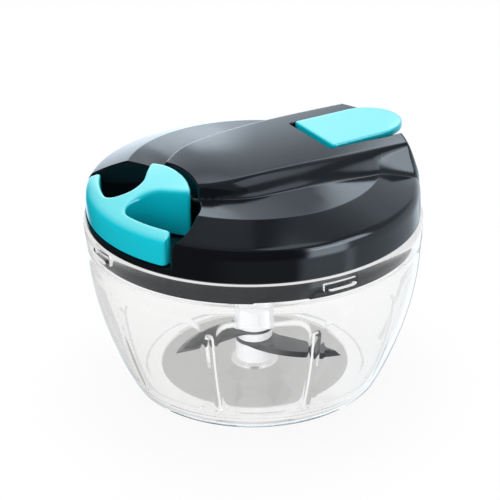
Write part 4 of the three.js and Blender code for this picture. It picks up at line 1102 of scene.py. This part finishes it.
def soft_look(name, colour, roughness):
    """A soft rubbery surface with a dusty, slightly mottled finish."""
    look, tree = new_look(name)
    spot = add_node(tree, "TexCoord").outputs["Object"]
    dust = noise(tree, spot, 900, 6)
    feed(tree.nodes["Principled BSDF"], {
        "Base Color": shaded(tree, dust, 0, [0.85 * part for part in colour], 1, colour),
        "Roughness": roughness,
        "Subsurface Weight": 0.15,
        "Subsurface Radius": (mm, mm, mm),
        "Normal": bumped(tree, 0.25, 0.1 * mm, dust),
    })
    return look


soft_seal = soft_look("soft_seal", (0.55, 0.57, 0.58), 0.55)
finished(vent_seal, soft_seal, "cap", "seal", "vent_seal")


# The blade unit's foot: a white collar that stands over the bowl's spigot and carries the lowest blade.
# It is moulded round the blade axis, with small roundings at both ends. A faint painted glow brightens
# it and the other white parts of the blade unit.
stem_foot = turned("blade_unit_foot", in_mm([
    (5.2, 4.1), (7, 4.1), (7.35, 4.25), (7.5, 4.6), (7.5, 11.5), (7.35, 11.85), (7, 12), (4.9, 12),
    (4.9, 5.4), (5, 5.3), (5, 4.3), (5.2, 4.1),
]), 96)
smooth(stem_foot, 40)
white_plastic = gloss_look("white_plastic", (0.86, 0.865, 0.87), (0.82, 0.825, 0.83), 0.22, 0.10)
# Painted light: a faint glow that brightens the white plastic.
feed(white_plastic.node_tree.nodes["Principled BSDF"], {
    "Emission Color": (0.94, 0.95, 1, 1), "Emission Strength": 0.27,
})
finished(stem_foot, white_plastic, "blade_unit", "white", "stem_foot")


# The spacer: a white moulded ring that keeps the lowest blade and the middle one apart.
# It slides on the stem's core, and its edges are broken.
blade_spacer = turned("blade_spacer_ring", in_mm([
    (5.1, 13.4), (6.9, 13.4), (7.2, 13.7), (7.2, 16.7), (6.9, 17), (5.1, 17), (4.9, 16.8), (4.9, 13.6),
    (5.1, 13.4),
]), 96)
smooth(blade_spacer, 40)
finished(blade_spacer, white_plastic, "blade_unit", "white", "blade_spacer")


# The stem: a white moulding with a round core and a wider cage, whose six arched flutes are cut into its
# side. The core is bored from below for the bowl's centre pin.
flute_count = 6
flute_half = 2.5
flute_foot = 20.4
flute_spring = 28.4
flute_middle = (flute_foot + flute_spring) / 2
blade_stem = turned("blade_unit_stem", in_mm([
    (0, 20.6), (2.3, 20.6), (2.3, 8.8), (2.5, 8.6), (4.4, 8.6), (4.6, 8.8), (4.6, 18.4), (7.5, 18.4),
    (7.85, 18.55), (8, 18.9), (8, 32.4), (7.85, 32.75), (7.5, 32.9), (4.6, 32.9), (4.6, 39.1), (4.4, 39.3),
    (0, 39.3),
]), 120)
arch = [(-flute_half, flute_foot), (flute_half, flute_foot), (flute_half, flute_spring)]
arch += [(x, flute_spring + z) for x, z in (on_circle(flute_half, a) for a in range(15, 180, 15))]
arch += [(-flute_half, flute_spring)]
for i in range(flute_count):
    flute = wrapped("flute", [[
        Vector((reach * mm, across * spread * mm, (flute_middle + (z - flute_middle) * spread) * mm))
        for across, z in arch
    ] for reach, spread in ((5.6, 0.94), (7.2, 1), (7.75, 1.02), (8.6, 1.14))])
    flute.rotation_euler[2] = math.radians(360 / flute_count * i)
    cut(blade_stem, place(flute))
smooth(blade_stem, 34)
finished(blade_stem, white_plastic, "blade_unit", "white", "blade_stem")


# The stem's head: a white moulded cap pressed on the core, with a round collar below and a six-sided shaft
# above. The shaft plugs into the drive hub in the lid.
stem_head = turned("stem_head_collar", in_mm([
    (0, 39.6), (4.9, 39.6), (4.9, 34.5), (5.1, 34.3), (7.2, 34.3), (7.5, 34.6), (7.5, 40), (7.3, 40.4),
    (5.4, 41.9), (4.4, 42.6), (0, 42.6),
]), 96)
hexagon = [on_circle(5.4 * mm, 60 * i + 30) for i in range(6)]
hex_shaft = wrapped("hex_shaft", [[
    Vector((x * share, y * share, z * mm)) for x, y in hexagon
] for share, z in ((0.98, 40.6), (1, 40.8), (1, 59.2), (0.98, 59.8), (0.85, 61))])
cut(stem_head, hex_shaft, operation="UNION")
smooth(stem_head, 30)
finished(stem_head, white_plastic, "blade_unit", "white", "stem_head")


# The three blades: curved steel strips, stamped from sheet and ground along the belly. Each is pressed on
# the stem a third of a turn from the next. The ground edge leaves a narrow slope along the belly.
def steel_look(name, colour, roughness, streaks):
    """Bright steel with fine rolling marks and an uneven shine."""
    look, tree = new_look(name)
    spot = add_node(tree, "TexCoord").outputs["Object"]
    stretched = add_node(tree, "Mapping", {"Vector": spot, "Scale": streaks}).outputs["Vector"]
    marks = noise(tree, stretched, 300, 6)
    feed(tree.nodes["Principled BSDF"], {
        "Base Color": shaded(tree, marks, 0.3, [0.9 * part for part in colour], 0.7, colour),
        "Metallic": 1,
        "Roughness": ranged(tree, marks, 0, 1, roughness, roughness * 1.5),
        "Normal": bumped(tree, 0.12, 0.05 * mm, marks),
    })
    return look


def bezier(points, steps):
    """Points along a curve with one or two handles, its start left out."""
    line = []
    for i in range(1, steps + 1):
        t = i / steps
        row = points
        while len(row) > 1:
            pairs = zip(row, row[1:])
            row = [((1 - t) * ax + t * bx, (1 - t) * ay + t * by) for (ax, ay), (bx, by) in pairs]
        line.append(row[0])
    return line


hub_radius = 7.5
hub_bore = 4.9 * mm
blade_tip = (37, 0)
heel = (9.75, 3.4)
belly = [(0, -hub_radius)] + bezier([(0, -hub_radius), (7.4, -10.18), (22.94, -12), blade_tip], 30)
blade_outline = belly + bezier([blade_tip, (27.75, 3.4), heel], 14)
blade_outline += bezier([heel, (6.75, 3.74), (4.5, 6)], 5)
blade_outline += [on_circle(hub_radius, a) for a in range(60, 270, 7)]
blade_thickness = 1.2 * mm
edge_thickness = 0.12 * mm
ground_width = 2.2 * mm
blade_steel = steel_look("blade_steel", (0.25, 0.253, 0.258), 0.24, (0.2, 1, 1))


def thickness_at(ground, x, y):
    """The blade's thickness at a point: full, but for the slope along its ground edge."""
    rise = min(away_from(ground, x, y) / ground_width, 1)
    return edge_thickness + (blade_thickness - edge_thickness) * rise


for name, node, blade_z, blade_angle in (
    ("blade_lower_ground", "blade_lower", 12.1 * mm, 36),
    ("blade_middle_ground", "blade_middle", 17.1 * mm, -84),
    ("blade_upper_ground", "blade_upper", 33 * mm, 156),
):
    turn = Matrix.Rotation(math.radians(blade_angle), 3, "Z")
    outline = [tuple((turn @ Vector((x * mm, y * mm, 0))).xy) for x, y in blade_outline]
    ground = outline[2:len(belly)]
    blade = raised(
        name, outline,
        lambda x, y, distance: blade_z,
        lambda x, y, distance: blade_z + thickness_at(ground, x, y),
        [step * mm for step in (0.1, 0.8, 1.5, 2.2)], 4 * mm)
    drilled(blade, 0, 0, hub_bore, blade_z - mm, blade_z + 3 * mm, 48)
    smooth(blade, 14)
    finished(blade, blade_steel, "blade_unit", "blade_steel", node)


# The cord: white braided nylon. Most of it lies wound on the reel in one layer, about three and a quarter
# turns, with its end pointing at the eyelet.
def swept(name, path, sizes, sides):
    """A round tube along a path of points, with a radius for each."""
    rings = []
    for i, (point, size) in enumerate(zip(path, sizes)):
        along = (path[min(i + 1, len(path) - 1)] - path[max(i - 1, 0)]).normalized()
        aside = along.cross(Vector((0, 0, 1))).normalized()
        up = aside.cross(along)
        turns = [2 * math.pi * k / sides for k in range(sides)]
        rings.append([point + size * (math.cos(turn) * aside + math.sin(turn) * up) for turn in turns])
    return wrapped(name, rings)


def braid_look(name, colour, shadow):
    """Braided nylon: two sets of fine slanted strands that cross, with painted shade where they dip."""
    look, tree = new_look(name)
    spot = add_node(tree, "TexCoord").outputs["Object"]
    strands = []
    for slant in (0.9, -0.9):
        turned_spot = add_node(tree, "Mapping", {"Vector": spot, "Rotation": (slant, 0, slant)})
        strands.append(add_node(tree, "TexWave", {
            "Vector": turned_spot.outputs["Vector"], "Scale": 420, "Distortion": 0.6,
        }, bands_direction="Y").outputs["Fac"])
    weave = worked(tree, "MAXIMUM", *strands)
    feed(tree.nodes["Principled BSDF"], {
        "Base Color": shaded(tree, weave, 0, shadow, 1, colour),
        "Roughness": 0.62,
        "Sheen Weight": 0.15,
        "Normal": bumped(tree, 0.6, 0.12 * mm, weave),
    })
    return look


cord_radius = 0.85 * mm
winding_radius = 20.05 * mm
cord_pitch = 2.15 * mm
cord_turns = 3.25
eyelet_reach = 23.8 * mm
winding_steps = 312


def on_reel(angle, z):
    return Vector((winding_radius * math.cos(angle), winding_radius * math.sin(angle), z))


leave_angle = math.acos(winding_radius / eyelet_reach) - math.pi / 2
leave_direction = Vector((math.sin(leave_angle), -math.cos(leave_angle), 0))
leave_point = on_reel(leave_angle, cord_z)
winding_path = []
for i in range(winding_steps + 1):
    left = cord_turns * (1 - i / winding_steps)
    winding_path.append(on_reel(leave_angle + left * 2 * math.pi, cord_z - cord_pitch * left))
winding_path.append(leave_point + 2 * cord_radius * leave_direction)
winding = swept("cord_on_reel", winding_path, [cord_radius] * len(winding_path), 12)
smooth(winding, 60)
braid = braid_look("braided_nylon", (0.78, 0.78, 0.76), (0.42, 0.42, 0.41))
finished(winding, braid, "reel", "cord", "cord_winding")


# The cord's running part, of the same braided nylon: it leaves the winding, bends through the eyelet and
# ends in a knot inside the handle. Between the lid and the handle its rings lie close together.
lead_gap = 2.3 * mm
lead_run = math.sqrt((winding_radius + lead_gap) ** 2 - winding_radius**2)
lead_start = leave_point + lead_run * leave_direction
lead_bend = Vector((0.25 * mm, -24.3 * mm, cord_z))
eyelet_inside = Vector((0, -25.5 * mm, cord_z))
stretch_start = -29
bend_steps = 12
lead_path = [
    (1 - t) ** 2 * lead_start + 2 * t * (1 - t) * lead_bend + t * t * eyelet_inside
    for t in [i / bend_steps for i in range(bend_steps + 1)]
]
straight = [-26.4, -27.4, -28.3, -28.7, stretch_start] + [stretch_start - 0.1 * i for i in range(1, 21)]
straight += [-32, -33.5, -35, -36.3]
knot = [(-36.7, 1), (-36.95, 1.45), (-37.4, 1.9), (-38.1, 2.2), (-38.9, 2.28), (-39.7, 2.2), (-40.4, 1.85),
        (-40.9, 1.35), (-41.15, 0.7)]
lead_path += [Vector((0, y * mm, cord_z)) for y in straight + [y for y, _ in knot]]
lead_sizes = [cord_radius] * (len(lead_path) - len(knot)) + [size * mm for _, size in knot]
lead = swept("cord_to_handle", lead_path, lead_sizes, 16)
smooth(lead, 60)
coat(lead, braid)
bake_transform(lead)
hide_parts("cord_lead", "cord_end")


# The small parts that stay as they were drawn: pins, screws, springs, the reel and the drive. Only their
# surfaces are given here: moulded white plastic, bright steel for pins and screws, and spring steel.
moulded_white = gloss_look("moulded_white", (0.80, 0.80, 0.79), (0.75, 0.75, 0.74), 0.30, 0.15)
bright_steel = steel_look("bright_steel", (0.62, 0.62, 0.63), 0.22, (1, 1, 1))
spring_steel = steel_look("spring_steel", (0.36, 0.38, 0.42), 0.28, (1, 1, 0.15))
for look, names in (
    (moulded_white, ("drive_bush", "spring_arbor", "cord_reel", "clutch_ring", "drive_hub")),
    (bright_steel, ("centre_pin", "cord_eyelet", "arbor_screw", "cap_pin")),
    (bright_steel, [f"cover_screw_{i}" for i in (1, 2, 3, 4)]),
    (spring_steel, ("recoil_spring", "spring_cover")),
):
    for name in names:
        coat(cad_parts[name], look)
